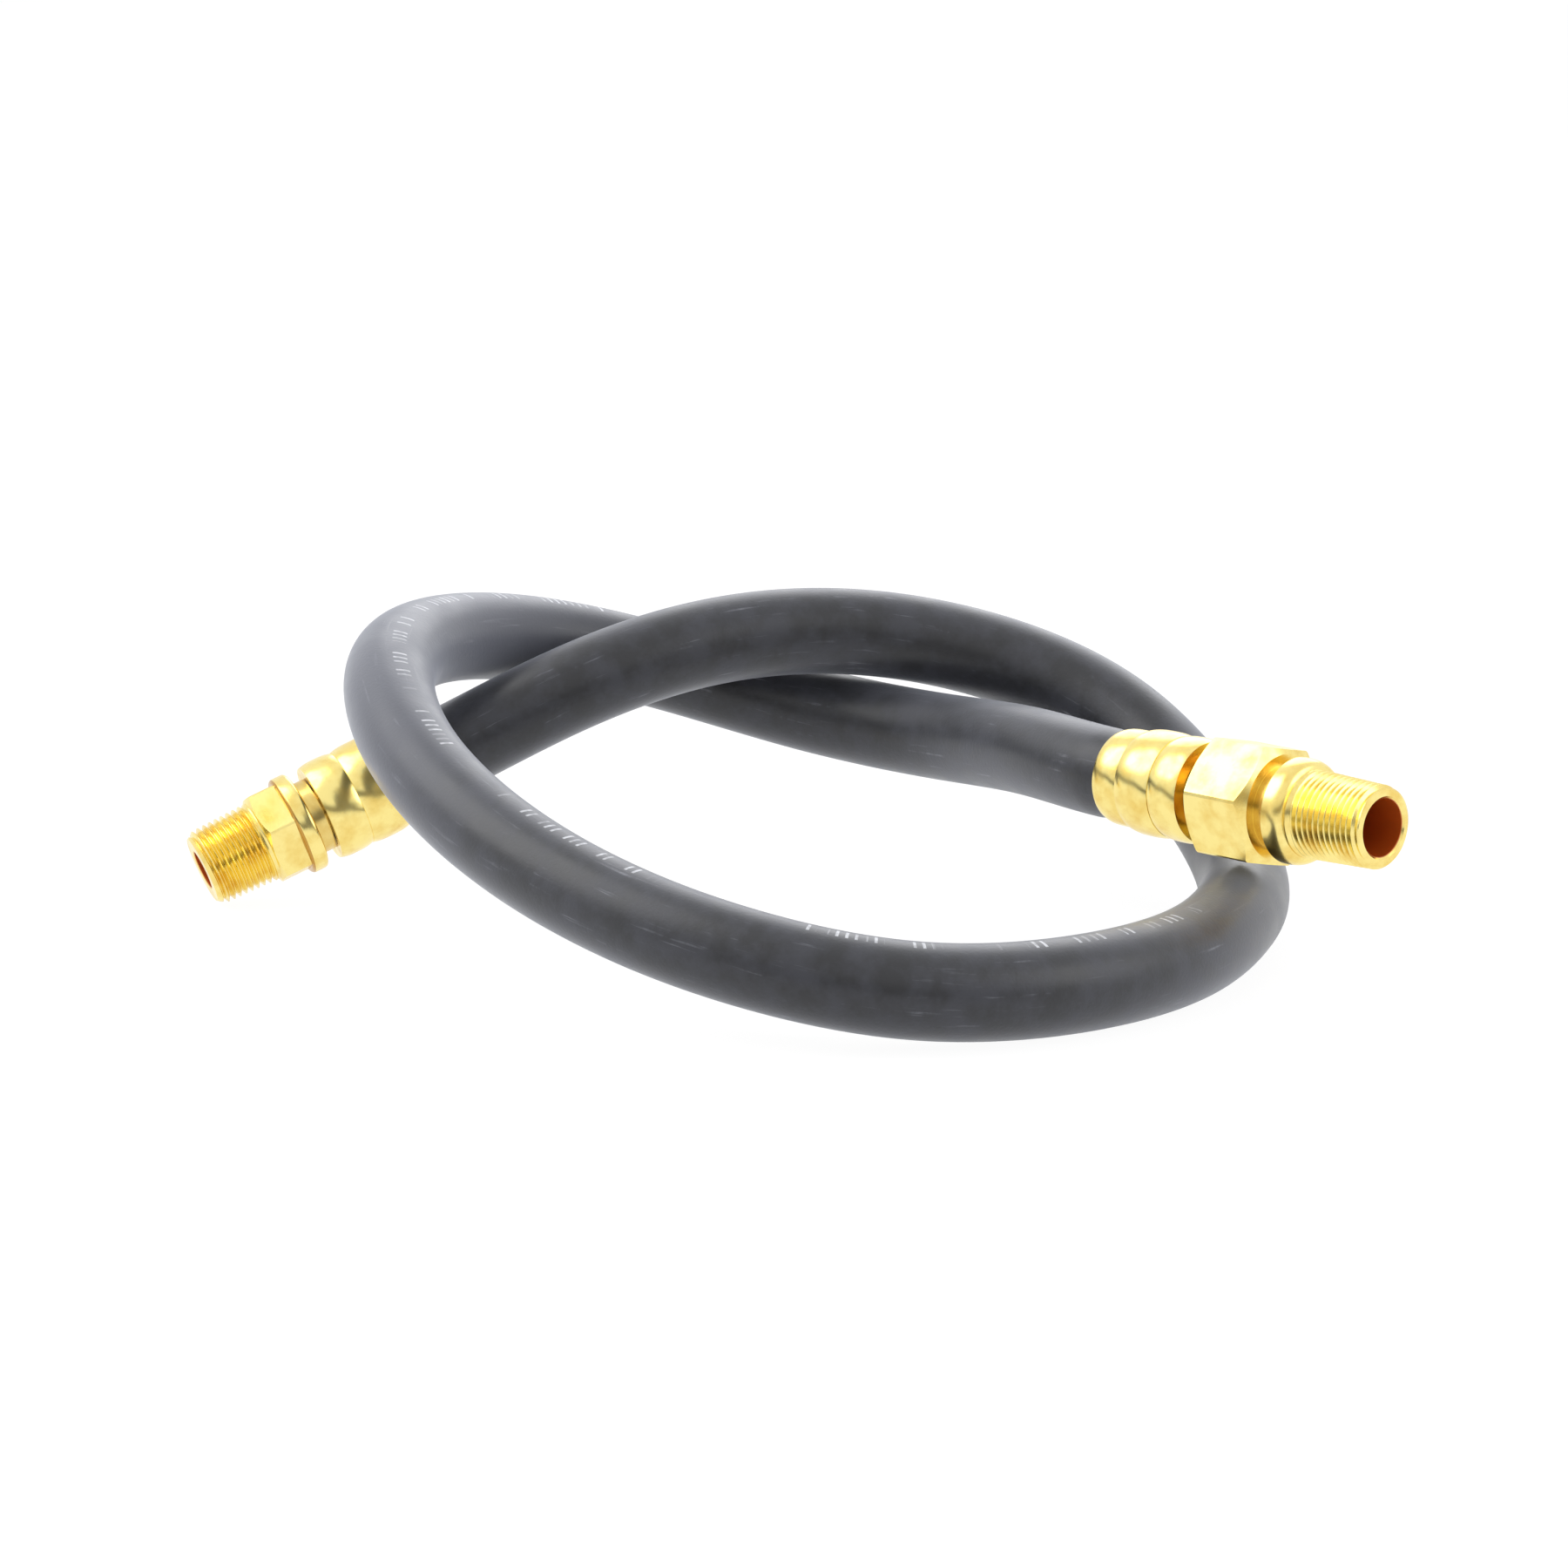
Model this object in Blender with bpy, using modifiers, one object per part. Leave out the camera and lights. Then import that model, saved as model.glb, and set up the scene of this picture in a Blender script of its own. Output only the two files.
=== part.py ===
"""Air brake hose: a rubber hose looped on itself, with a crimped brass pipe fitting at each end.

The end on the left has a fixed hexagon and thread. On the other end the hexagon and thread are one
swivel body, which turns on a journal so that it can be screwed in without twisting the hose.
Units are metres, +Z is up, and the hose lies as it would come to rest on a table.
"""
import math

import bmesh
import bpy
import numpy as np
from mathutils import Matrix, Vector

MM = 0.001
INCH = 0.0254

# Gap left between neighbouring pieces, and how far a cutter reaches past what it opens.
CLEARANCE = 0.3 * MM
CUTTER_REACH = 1.0 * MM

# Faces round every turned shape.
TURNED_STEPS = 28

# Hose, 3/8 in bore and 3/4 in outside. Its crimped ends are squeezed by the ferrules.
HOSE_OUTER_DIAMETER = 0.75 * INCH
HOSE_BORE_DIAMETER = 0.375 * INCH
CRIMPED_DIAMETER = 17.9 * MM
NECK_LENGTH = 4.0 * MM
HOSE_POINT_SPACING = 10.5 * MM
HOSE_SIDES = 12

# Centre line of the free hose in millimetres, from the fixed ferrule's mouth to the swivel ferrule's.
ROUTE_MM = [
    (-88.0, -37.8, 27.7),
    (-73.3, -10.4, 41.7),
    (-61.1, 18.9, 50.6),
    (-46.8, 48.8, 52.1),
    (-24.4, 73.0, 46.7),
    (4.7, 85.0, 35.4),
    (35.1, 81.0, 19.5),
    (63.4, 61.3, 10.4),
    (80.3, 39.1, 9.9),
    (94.2, 9.7, 9.8),
    (96.5, -23.6, 9.9),
    (83.6, -54.2, 11.3),
    (58.3, -75.7, 16.8),
    (26.1, -84.4, 23.6),
    (-6.6, -85.2, 32.2),
    (-37.2, -79.7, 42.9),
    (-64.5, -64.2, 52.7),
    (-84.7, -37.8, 55.2),
    (-91.1, -5.7, 51.5),
    (-82.0, 25.3, 43.0),
    (-56.7, 48.7, 33.4),
    (-20.5, 57.0, 30.8),
    (12.3, 50.5, 33.2),
    (44.0, 45.0, 33.5),
]

# Way that each fitting points, away from its ferrule's mouth: turn about Z from +X, then tilt up.
FIXED_HEADING = -114.0
FIXED_TILT = -22.3
SWIVEL_HEADING = 0.0
SWIVEL_TILT = 0.0

# Ferrule: three rolled crimp bands, each with its start and end measured from the mouth, and its
# diameter from the hose that it squeezes.
FERRULE_LENGTH = 23.8 * MM
FERRULE_BANDS = [
    (0.0 * MM, 7.1 * MM, CRIMPED_DIAMETER + 2.7 * MM),
    (7.1 * MM, 16.1 * MM, CRIMPED_DIAMETER + 4.5 * MM),
    (16.1 * MM, FERRULE_LENGTH, CRIMPED_DIAMETER + 4.3 * MM),
]
BAND_DEPTH = 0.5 * MM
LIP_THICKNESS = 2.5 * MM

# Tail of either stem: barbs in the hose, a shoulder that locks the ferrule, and a neck in its lip.
TAIL_BORE_DIAMETER = 6.6 * MM
BARB_ROOT_DIAMETER = 8.0 * MM
BARB_CREST_DIAMETER = 8.6 * MM
BARB_PITCH = 3.4 * MM
BARB_COUNT = 5
SHOULDER_DIAMETER = 15.2 * MM
SHOULDER_LENGTH = 1.2 * MM
NECK_DIAMETER = 11.8 * MM

# Male pipe thread, 3/8 in, 18 to the inch: the crests lie on a cone of 1 in 16.
THREAD_END_DIAMETER = 17.055 * MM
THREAD_TAPER = 1.0 / 16.0

# Hexagons have their corners turned off at this angle, down to a round face.
HEX_CHAMFER_DEGREES = 30.0

# Fixed end, measured along the fitting.
FIXED_GROOVE_DIAMETER = 16.4 * MM
FIXED_GROOVE_LENGTH = 3.2 * MM
FIXED_COLLAR_DIAMETER = 22.2 * MM
FIXED_COLLAR_LENGTH = 3.9 * MM
FIXED_HEX_ACROSS_FLATS = 0.75 * INCH
FIXED_HEX_FACE_DIAMETER = 18.4 * MM
FIXED_HEX_LENGTH = 6.8 * MM
FIXED_HEX_TURN = -10.0
FIXED_THREAD_LENGTH = 14.3 * MM
FIXED_THREAD_CHAMFER = 1.6 * MM
FIXED_BORE_DIAMETER = 8.6 * MM
FIXED_BORE_DEPTH = 20.0 * MM
COLLAR_ROUNDING = 0.9 * MM

# Swivel end, measured along the fitting.
SWIVEL_GAP_LENGTH = 3.6 * MM
SWIVEL_THRUST_DIAMETER = 15.0 * MM
SWIVEL_HEX_ACROSS_FLATS = 15.0 / 16.0 * INCH
SWIVEL_HEX_FACE_DIAMETER = 22.0 * MM
SWIVEL_HEX_LENGTH = 16.5 * MM
SWIVEL_HEX_TURN = 18.4
SWIVEL_GROOVE_DIAMETER = 18.0 * MM
SWIVEL_GROOVE_LENGTH = 3.2 * MM
SWIVEL_COLLAR_DIAMETER = 22.0 * MM
SWIVEL_COLLAR_LENGTH = 5.1 * MM
SWIVEL_COLLAR_EDGE = 0.6 * MM
SWIVEL_THREAD_LENGTH = 18.6 * MM
SWIVEL_THREAD_CHAMFER = 0.9 * MM
SWIVEL_NOSE_BORE_DIAMETER = 11.9 * MM
SWIVEL_MOUTH_CHAMFER = 0.5 * MM
JOURNAL_DIAMETER = 12.4 * MM
JOURNAL_LENGTH = 18.7 * MM

# Rings round the journal, each with the distance of its middle from the swivel body's rear face.
RETAINING_WIRE_DIAMETER = 1.3 * MM
RETAINING_RING_PLACE = 3.4 * MM
RETAINING_RING_GAP_DEGREES = 24.0
SEAL_SECTION_DIAMETER = 1.6 * MM
SEAL_RING_PLACE = 10.0 * MM

COLLECTION_NAME = "air_brake_hose"


def clear_scene():
    """Remove everything that the opened file holds."""
    for old in list(bpy.data.objects):
        bpy.data.objects.remove(old, do_unlink=True)


def new_collection(name):
    """Return a new collection linked to the scene."""
    made = bpy.data.collections.new(name)
    bpy.context.scene.collection.children.link(made)
    return made


def material(name, color, roughness, metallic):
    """Return a Principled material."""
    made = bpy.data.materials.new(name)
    made.use_nodes = True
    shader = made.node_tree.nodes["Principled BSDF"]
    shader.inputs["Base Color"].default_value = (*color, 1.0)
    shader.inputs["Roughness"].default_value = roughness
    shader.inputs["Metallic"].default_value = metallic
    return made


def add_object(name, data, collection, parent=None):
    """Return an object of the data, placed in a collection and under a parent."""
    made = bpy.data.objects.new(name, data)
    collection.objects.link(made)
    made.parent = parent
    return made


def as_cutter(cutter):
    """Mark an object as a tool that shapes others and isn't a piece itself."""
    cutter.hide_render = True
    cutter.display_type = "WIRE"
    return cutter


def direction(heading, tilt):
    """Return the unit vector with a heading about Z and a tilt above the level, in degrees."""
    turn = math.radians(heading)
    rise = math.radians(tilt)
    return Vector((math.cos(rise) * math.cos(turn), math.cos(rise) * math.sin(turn), math.sin(rise)))


def end_frame(name, mouth, way, collection):
    """Return an empty at a ferrule's mouth whose Z runs out along the fitting."""
    frame = add_object(name, None, collection)
    frame.empty_display_size = 0.01
    frame.rotation_mode = "QUATERNION"
    frame.rotation_quaternion = way.to_track_quat("Z", "Y")
    frame.location = mouth
    return frame


def boolean(piece, cutter, operation):
    """Add an exact Boolean with another object."""
    step = piece.modifiers.new(operation.lower() + "_" + cutter.name, "BOOLEAN")
    step.operation = operation
    step.solver = "EXACT"
    step.object = cutter


def turned(name, outline, collection, parent, closed=False):
    """Return a solid of revolution about the local Z axis.

    The outline lists (radius, height) from the top down its outer side. A closed one runs back up
    its inner side, and an open one starts and ends on the axis.
    """
    mesh = bpy.data.meshes.new(name)
    points = [(radius, 0.0, height) for radius, height in outline]
    edges = [(i, i + 1) for i in range(len(points) - 1)]
    if closed:
        edges.append((len(points) - 1, 0))
    mesh.from_pydata(points, edges, [])
    made = add_object(name, mesh, collection, parent)
    screw = made.modifiers.new("turn", "SCREW")
    screw.axis = "Z"
    screw.steps = TURNED_STEPS
    screw.render_steps = TURNED_STEPS
    screw.use_merge_vertices = True
    screw.merge_threshold = 0.01 * MM
    screw.use_smooth_shade = True
    return made


def hex_form(name, start, length, across_flats, face_diameter, turn, cutters, parent):
    """Return a hexagon with its corners turned off at both ends, for joining to a turned body.

    The turned corners start at the round face at either end, and a turn of 0 degrees has one corner
    on the frame's Y axis.
    """
    corner = across_flats / math.sqrt(3.0)
    mesh = bpy.data.meshes.new(name)
    form = bmesh.new()
    bmesh.ops.create_cone(
        form, cap_ends=True, cap_tris=False, segments=6, radius1=corner, radius2=corner, depth=length
    )
    bmesh.ops.rotate(form, verts=form.verts, matrix=Matrix.Rotation(math.radians(turn), 3, "Z"))
    bmesh.ops.translate(form, verts=form.verts, vec=(0.0, 0.0, start + length / 2.0))
    form.to_mesh(mesh)
    form.free()
    prism = as_cutter(add_object(name, mesh, cutters, parent))
    face = face_diameter / 2.0
    wide = corner + 0.5 * MM
    drop = (wide - face) * math.tan(math.radians(HEX_CHAMFER_DEGREES))
    top = start + length
    outline = [
        (0.0, top),
        (face, top),
        (wide, top - drop),
        (wide, start + drop),
        (face, start),
        (0.0, start),
    ]
    turned_off = as_cutter(turned(name + "_corners", outline, cutters, parent))
    boolean(prism, turned_off, "INTERSECT")
    return prism


def rounded_band(start, end, radius, rounding):
    """Return the outer side of a collar with rounded edges, from its top down."""
    quarter = [math.radians(angle) for angle in (0.0, 30.0, 60.0, 90.0)]
    top = [
        (radius - rounding * (1.0 - math.sin(a)), end - rounding * (1.0 - math.cos(a)))
        for a in quarter
    ]
    bottom = [(r, start + end - height) for r, height in reversed(top)]
    return top + bottom


def ferrule_outline():
    """Return the closed outline of the crimped ferrule, whose mouth is at height 0."""
    outer = []
    low_steps = (-1.0, -0.8, -0.45, 0.0, 0.45, 0.8)
    for start, end, diameter in FERRULE_BANDS:
        middle = (start + end) / 2.0
        half = (end - start) / 2.0
        for u in low_steps:
            radius = diameter / 2.0 - BAND_DEPTH * abs(u) ** 3
            outer.append((radius, middle + half * u))
    last = FERRULE_BANDS[-1][2] / 2.0 - BAND_DEPTH
    outer.append((last, FERRULE_LENGTH))
    outer.reverse()
    bore = CRIMPED_DIAMETER / 2.0 + CLEARANCE
    lip = NECK_DIAMETER / 2.0 + CLEARANCE
    mouth = bore + 0.3 * MM
    inner = [
        (mouth, 0.0),
        (bore, 0.6 * MM),
        (bore, FERRULE_LENGTH - LIP_THICKNESS),
        (lip, FERRULE_LENGTH - LIP_THICKNESS),
        (lip, FERRULE_LENGTH),
    ]
    return outer + inner


def tail_outline():
    """Return the outer side of a stem inside the ferrule, from its neck down to the tail's tip."""
    lip_inside = FERRULE_LENGTH - LIP_THICKNESS
    shoulder_top = lip_inside - CLEARANCE
    shoulder_foot = shoulder_top - SHOULDER_LENGTH
    outline = [
        (NECK_DIAMETER / 2.0, FERRULE_LENGTH + CLEARANCE),
        (NECK_DIAMETER / 2.0, shoulder_top),
        (SHOULDER_DIAMETER / 2.0, shoulder_top),
        (SHOULDER_DIAMETER / 2.0, shoulder_foot),
        (BARB_ROOT_DIAMETER / 2.0, shoulder_foot),
    ]
    crest = shoulder_foot - CLEARANCE
    for barb in range(BARB_COUNT):
        top = crest - barb * BARB_PITCH
        outline.append((BARB_ROOT_DIAMETER / 2.0, top - 0.2 * MM))
        outline.append((BARB_CREST_DIAMETER / 2.0, top - 0.6 * MM))
        outline.append((BARB_ROOT_DIAMETER / 2.0, top - BARB_PITCH + 0.4 * MM))
    tip = outline[-1][1]
    outline.append((0.0, tip))
    return outline


def thread_outline(end, length, chamfer):
    """Return the cone of a pipe thread's crests, from its end face down."""
    face = THREAD_END_DIAMETER / 2.0 - chamfer * 0.75
    return [
        (0.0, end),
        (face, end),
        (THREAD_END_DIAMETER / 2.0 + chamfer * THREAD_TAPER / 2.0, end - chamfer),
        (THREAD_END_DIAMETER / 2.0 + length * THREAD_TAPER / 2.0, end - length),
    ]


def bore_cutter(name, steps, cutters, parent):
    """Return the tool for a stepped bore: each step is a diameter with its top and bottom."""
    outline = [(0.0, steps[0][1])]
    for diameter, top, bottom in steps:
        outline.append((diameter / 2.0, top))
        outline.append((diameter / 2.0, bottom))
    outline.append((0.0, steps[-1][2]))
    return as_cutter(turned(name, outline, cutters, parent))


def build_fixed_stem(pieces, cutters, frame):
    """Build the fixed end: tail, collar, hexagon and thread turned in one piece."""
    collar_start = FERRULE_LENGTH + FIXED_GROOVE_LENGTH
    hex_start = collar_start + FIXED_COLLAR_LENGTH
    thread_start = hex_start + FIXED_HEX_LENGTH
    end = thread_start + FIXED_THREAD_LENGTH
    outline = thread_outline(end, FIXED_THREAD_LENGTH, FIXED_THREAD_CHAMFER)
    outline.append((outline[-1][0], hex_start))
    outline += rounded_band(collar_start, hex_start, FIXED_COLLAR_DIAMETER / 2.0, COLLAR_ROUNDING)
    outline += [
        (FIXED_GROOVE_DIAMETER / 2.0, collar_start),
        (FIXED_GROOVE_DIAMETER / 2.0, FERRULE_LENGTH + CLEARANCE),
    ]
    outline += tail_outline()
    stem = turned("fixed_stem", outline, pieces, frame)
    # The hexagon reaches into the collar, which hides its turned corners at that end.
    overlap = 1.5 * MM
    hexagon = hex_form(
        "fixed_hexagon", hex_start - overlap, FIXED_HEX_LENGTH + overlap, FIXED_HEX_ACROSS_FLATS,
        FIXED_HEX_FACE_DIAMETER, FIXED_HEX_TURN, cutters, frame,
    )
    boolean(stem, hexagon, "UNION")
    steps = [
        (FIXED_BORE_DIAMETER, end + CUTTER_REACH, end - FIXED_BORE_DEPTH),
        (TAIL_BORE_DIAMETER, end - FIXED_BORE_DEPTH, -CUTTER_REACH),
    ]
    boolean(stem, bore_cutter("fixed_bore", steps, cutters, frame), "DIFFERENCE")
    return stem


def swivel_rear_face():
    """Return how far the swivel body's rear face is from the ferrule's mouth."""
    return FERRULE_LENGTH + SWIVEL_GAP_LENGTH


def ring_groove(place, bottom, top, section):
    """Return the four corners of a square groove for a ring, from above down."""
    half = section / 2.0 + CLEARANCE
    return [(top, place + half), (bottom, place + half), (bottom, place - half), (top, place - half)]


def seal_radii():
    """Return the middle radius of the seal ring and the bottom of its groove."""
    outer = swivel_journal_bore() / 2.0 - CLEARANCE
    middle = outer - SEAL_SECTION_DIAMETER / 2.0
    return middle, middle - SEAL_SECTION_DIAMETER / 2.0 - CLEARANCE


def swivel_journal_bore():
    """Return the diameter of the swivel body's bore round the journal."""
    return JOURNAL_DIAMETER + 2.0 * CLEARANCE


def retaining_radius():
    """Return the middle radius of the retaining ring, half in each of the two pieces."""
    return (JOURNAL_DIAMETER / 2.0 + swivel_journal_bore() / 2.0) / 2.0


def build_swivel_stem(pieces, cutters, frame):
    """Build the swivel end's stem: tail, thrust shoulder and the journal with two ring grooves."""
    rear = swivel_rear_face()
    journal = JOURNAL_DIAMETER / 2.0
    end = rear + JOURNAL_LENGTH
    wire_bottom = retaining_radius() - RETAINING_WIRE_DIAMETER / 2.0 - CLEARANCE
    outline = [(0.0, end), (journal - 0.4 * MM, end), (journal, end - 0.4 * MM)]
    outline += ring_groove(
        rear + SEAL_RING_PLACE, seal_radii()[1], journal, SEAL_SECTION_DIAMETER
    )
    outline += ring_groove(
        rear + RETAINING_RING_PLACE, wire_bottom, journal, RETAINING_WIRE_DIAMETER
    )
    outline += [
        (journal, rear - CLEARANCE),
        (SWIVEL_THRUST_DIAMETER / 2.0, rear - CLEARANCE),
        (SWIVEL_THRUST_DIAMETER / 2.0, FERRULE_LENGTH + CLEARANCE),
    ]
    outline += tail_outline()
    stem = turned("swivel_stem", outline, pieces, frame)
    steps = [(TAIL_BORE_DIAMETER, end + CUTTER_REACH, -CUTTER_REACH)]
    boolean(stem, bore_cutter("swivel_stem_bore", steps, cutters, frame), "DIFFERENCE")
    return stem


def build_swivel_body(pieces, cutters, frame):
    """Build the body that turns on the journal: hexagon, collar and thread in one piece."""
    rear = swivel_rear_face()
    groove_start = rear + SWIVEL_HEX_LENGTH
    collar_start = groove_start + SWIVEL_GROOVE_LENGTH
    thread_start = collar_start + SWIVEL_COLLAR_LENGTH
    end = thread_start + SWIVEL_THREAD_LENGTH
    groove = SWIVEL_GROOVE_DIAMETER / 2.0
    inside_hexagon = rear + CUTTER_REACH
    outline = thread_outline(end, SWIVEL_THREAD_LENGTH, SWIVEL_THREAD_CHAMFER)
    thread_root = outline[-1][0]
    dome = [
        (
            thread_root + (SWIVEL_COLLAR_DIAMETER / 2.0 - thread_root) * math.sin(math.radians(angle)),
            thread_start - 0.62 * SWIVEL_COLLAR_LENGTH * (1.0 - math.cos(math.radians(angle))),
        )
        for angle in (20.0, 40.0, 60.0, 90.0)
    ]
    outline += dome
    outline += [
        (SWIVEL_COLLAR_DIAMETER / 2.0, collar_start + SWIVEL_COLLAR_EDGE),
        (SWIVEL_COLLAR_DIAMETER / 2.0 - SWIVEL_COLLAR_EDGE, collar_start),
        (groove, collar_start),
        (groove, inside_hexagon),
        (0.0, inside_hexagon),
    ]
    body = turned("swivel_body", outline, pieces, frame)
    hexagon = hex_form(
        "swivel_hexagon", rear, SWIVEL_HEX_LENGTH, SWIVEL_HEX_ACROSS_FLATS,
        SWIVEL_HEX_FACE_DIAMETER, SWIVEL_HEX_TURN, cutters, frame,
    )
    boolean(body, hexagon, "UNION")
    step = rear + JOURNAL_LENGTH + CLEARANCE
    wire_top = retaining_radius() + RETAINING_WIRE_DIAMETER / 2.0 + CLEARANCE
    nose = SWIVEL_NOSE_BORE_DIAMETER / 2.0
    bore = swivel_journal_bore() / 2.0
    outline = [
        (0.0, end + CUTTER_REACH),
        (nose + SWIVEL_MOUTH_CHAMFER + CUTTER_REACH, end + CUTTER_REACH),
        (nose, end - SWIVEL_MOUTH_CHAMFER),
        (nose, step),
        (bore, step),
    ]
    outline += ring_groove(rear + RETAINING_RING_PLACE, wire_top, bore, RETAINING_WIRE_DIAMETER)
    outline += [(bore, rear - CUTTER_REACH), (0.0, rear - CUTTER_REACH)]
    cutter = as_cutter(turned("swivel_body_bore", outline, cutters, frame))
    boolean(body, cutter, "DIFFERENCE")
    return body


def build_seal_ring(pieces, frame):
    """Build the rubber ring that seals the journal."""
    bpy.ops.mesh.primitive_torus_add(
        major_radius=seal_radii()[0],
        minor_radius=SEAL_SECTION_DIAMETER / 2.0,
        major_segments=TURNED_STEPS,
        minor_segments=8,
    )
    ring = bpy.context.object
    ring.name = "swivel_seal_ring"
    for holder in list(ring.users_collection):
        holder.objects.unlink(ring)
    pieces.objects.link(ring)
    ring.parent = frame
    ring.location = (0.0, 0.0, swivel_rear_face() + SEAL_RING_PLACE)
    ring.data.shade_smooth()
    return ring


def build_retaining_ring(pieces, frame):
    """Build the open wire ring that keeps the swivel body on the journal."""
    path = bpy.data.curves.new("swivel_retaining_ring", "CURVE")
    path.dimensions = "3D"
    path.bevel_depth = RETAINING_WIRE_DIAMETER / 2.0
    path.bevel_resolution = 2
    path.use_fill_caps = True
    count = TURNED_STEPS
    spline = path.splines.new("POLY")
    spline.points.add(count - 1)
    span = math.radians(360.0 - RETAINING_RING_GAP_DEGREES)
    height = swivel_rear_face() + RETAINING_RING_PLACE
    for i, point in enumerate(spline.points):
        angle = span * i / (count - 1)
        radius = retaining_radius()
        point.co = (radius * math.cos(angle), radius * math.sin(angle), height, 1.0)
    return add_object("swivel_retaining_ring", path, pieces, frame)


def smooth_route(points, start_way, end_way, spacing):
    """Return points along one smooth curve through the route, with its end directions given.

    The curve is a cubic spline whose slope and bend are continuous. Its slopes at the route's
    points solve one linear system, and each stretch is then read at an even spacing.
    """
    knots = np.array(points, dtype=float)
    chord = np.linalg.norm(np.diff(knots, axis=0), axis=1)
    count = len(knots)
    system = np.eye(count)
    wanted = np.zeros((count, 3))
    wanted[0] = start_way
    wanted[-1] = end_way
    for i in range(1, count - 1):
        before, after = chord[i - 1], chord[i]
        system[i, i - 1:i + 2] = (after, 2.0 * (before + after), before)
        step_in = (knots[i] - knots[i - 1]) / before
        step_out = (knots[i + 1] - knots[i]) / after
        wanted[i] = 3.0 * (after * step_in + before * step_out)
    slopes = np.linalg.solve(system, wanted)
    read = []
    for i in range(count - 1):
        pieces = max(1, round(chord[i] / spacing))
        for k in range(pieces):
            t = k / pieces
            near = (1.0 + 2.0 * t) * (1.0 - t) ** 2 * knots[i] + t * (1.0 - t) ** 2 * chord[i] * slopes[i]
            far = t * t * (3.0 - 2.0 * t) * knots[i + 1] - t * t * (1.0 - t) * chord[i] * slopes[i + 1]
            read.append(near + far)
    read.append(knots[-1])
    return [Vector(point) for point in read]


def hose_in_ferrule():
    """Return how far the hose goes into a ferrule, up to the stem's shoulder."""
    return FERRULE_LENGTH - LIP_THICKNESS - SHOULDER_LENGTH - 2.0 * CLEARANCE


def even_radius(diameter):
    """Return the corner radius at which the tube's flat sides hold as much as the round hose."""
    turn = 2.0 * math.pi / HOSE_SIDES
    return diameter / 2.0 * math.sqrt(turn / math.sin(turn))


def tube_mesh(name, points, radii, depth, collection):
    """Return a mesh object of a round tube with closed ends along the points."""
    path = bpy.data.curves.new(name + "_path", "CURVE")
    path.dimensions = "3D"
    path.bevel_depth = depth
    path.bevel_resolution = (HOSE_SIDES - 4) // 2
    path.use_fill_caps = True
    spline = path.splines.new("POLY")
    spline.points.add(len(points) - 1)
    for target, point, radius in zip(spline.points, points, radii):
        target.co = (*point, 1.0)
        target.radius = radius
    holder = add_object(name + "_path", path, collection)
    bpy.context.view_layer.update()
    evaluated = holder.evaluated_get(bpy.context.evaluated_depsgraph_get())
    mesh = bpy.data.meshes.new_from_object(evaluated)
    mesh.name = name
    weld = bmesh.new()
    weld.from_mesh(mesh)
    bmesh.ops.remove_doubles(weld, verts=weld.verts, dist=0.01 * MM)
    weld.to_mesh(mesh)
    weld.free()
    made = add_object(name, mesh, collection)
    made.matrix_world = holder.matrix_world
    bpy.data.objects.remove(holder, do_unlink=True)
    return made


def build_hose(pieces, cutters, fixed_way, swivel_way):
    """Build the hose: the free loop and the two straight ends that the ferrules squeeze."""
    route = [Vector(point) * MM for point in ROUTE_MM]
    free = smooth_route(route, -fixed_way, swivel_way, HOSE_POINT_SPACING)
    outer = even_radius(HOSE_OUTER_DIAMETER)
    crimped = CRIMPED_DIAMETER / 2.0 / outer
    first_neck = free[0] - fixed_way * NECK_LENGTH
    last_neck = free[-1] - swivel_way * NECK_LENGTH
    start = free[0] + fixed_way * hose_in_ferrule()
    finish = free[-1] + swivel_way * hose_in_ferrule()
    points = [start, free[0], first_neck] + free[1:-1] + [last_neck, free[-1], finish]
    radii = [crimped, crimped, 1.0] + [1.0] * (len(free) - 2) + [1.0, crimped, crimped]
    hose = tube_mesh("hose", points, radii, outer, pieces)
    ends = [start + fixed_way * CUTTER_REACH, finish + swivel_way * CUTTER_REACH]
    inside = [ends[0]] + points[1:-1] + [ends[1]]
    bore = even_radius(HOSE_BORE_DIAMETER)
    cutter = tube_mesh("hose_bore", inside, [1.0] * len(inside), bore, cutters)
    boolean(hose, as_cutter(cutter), "DIFFERENCE")
    hose.data.shade_smooth()
    return hose


def build_all():
    """Build every piece of the hose assembly."""
    clear_scene()
    pieces = new_collection(COLLECTION_NAME)
    cutters = new_collection(COLLECTION_NAME + "_cutters")
    rubber = material("black_rubber", (0.030, 0.031, 0.036), 0.62, 0.0)
    brass = material("yellow_brass", (0.83, 0.60, 0.20), 0.24, 1.0)
    steel = material("spring_steel", (0.45, 0.45, 0.46), 0.35, 1.0)
    seal = material("seal_rubber", (0.020, 0.020, 0.020), 0.45, 0.0)

    fixed_way = direction(FIXED_HEADING, FIXED_TILT)
    swivel_way = direction(SWIVEL_HEADING, SWIVEL_TILT)
    fixed_frame = end_frame("fixed_end", Vector(ROUTE_MM[0]) * MM, fixed_way, pieces)
    swivel_frame = end_frame("swivel_end", Vector(ROUTE_MM[-1]) * MM, swivel_way, pieces)

    finished = [
        (build_hose(pieces, cutters, fixed_way, swivel_way), rubber),
        (build_fixed_stem(pieces, cutters, fixed_frame), brass),
        (turned("fixed_ferrule", ferrule_outline(), pieces, fixed_frame, closed=True), brass),
        (build_swivel_stem(pieces, cutters, swivel_frame), brass),
        (turned("swivel_ferrule", ferrule_outline(), pieces, swivel_frame, closed=True), brass),
        (build_swivel_body(pieces, cutters, swivel_frame), brass),
        (build_seal_ring(pieces, swivel_frame), seal),
        (build_retaining_ring(pieces, swivel_frame), steel),
    ]
    for piece, finish in finished:
        piece.data.materials.clear()
        piece.data.materials.append(finish)
    bpy.context.view_layer.update()


build_all()
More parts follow.
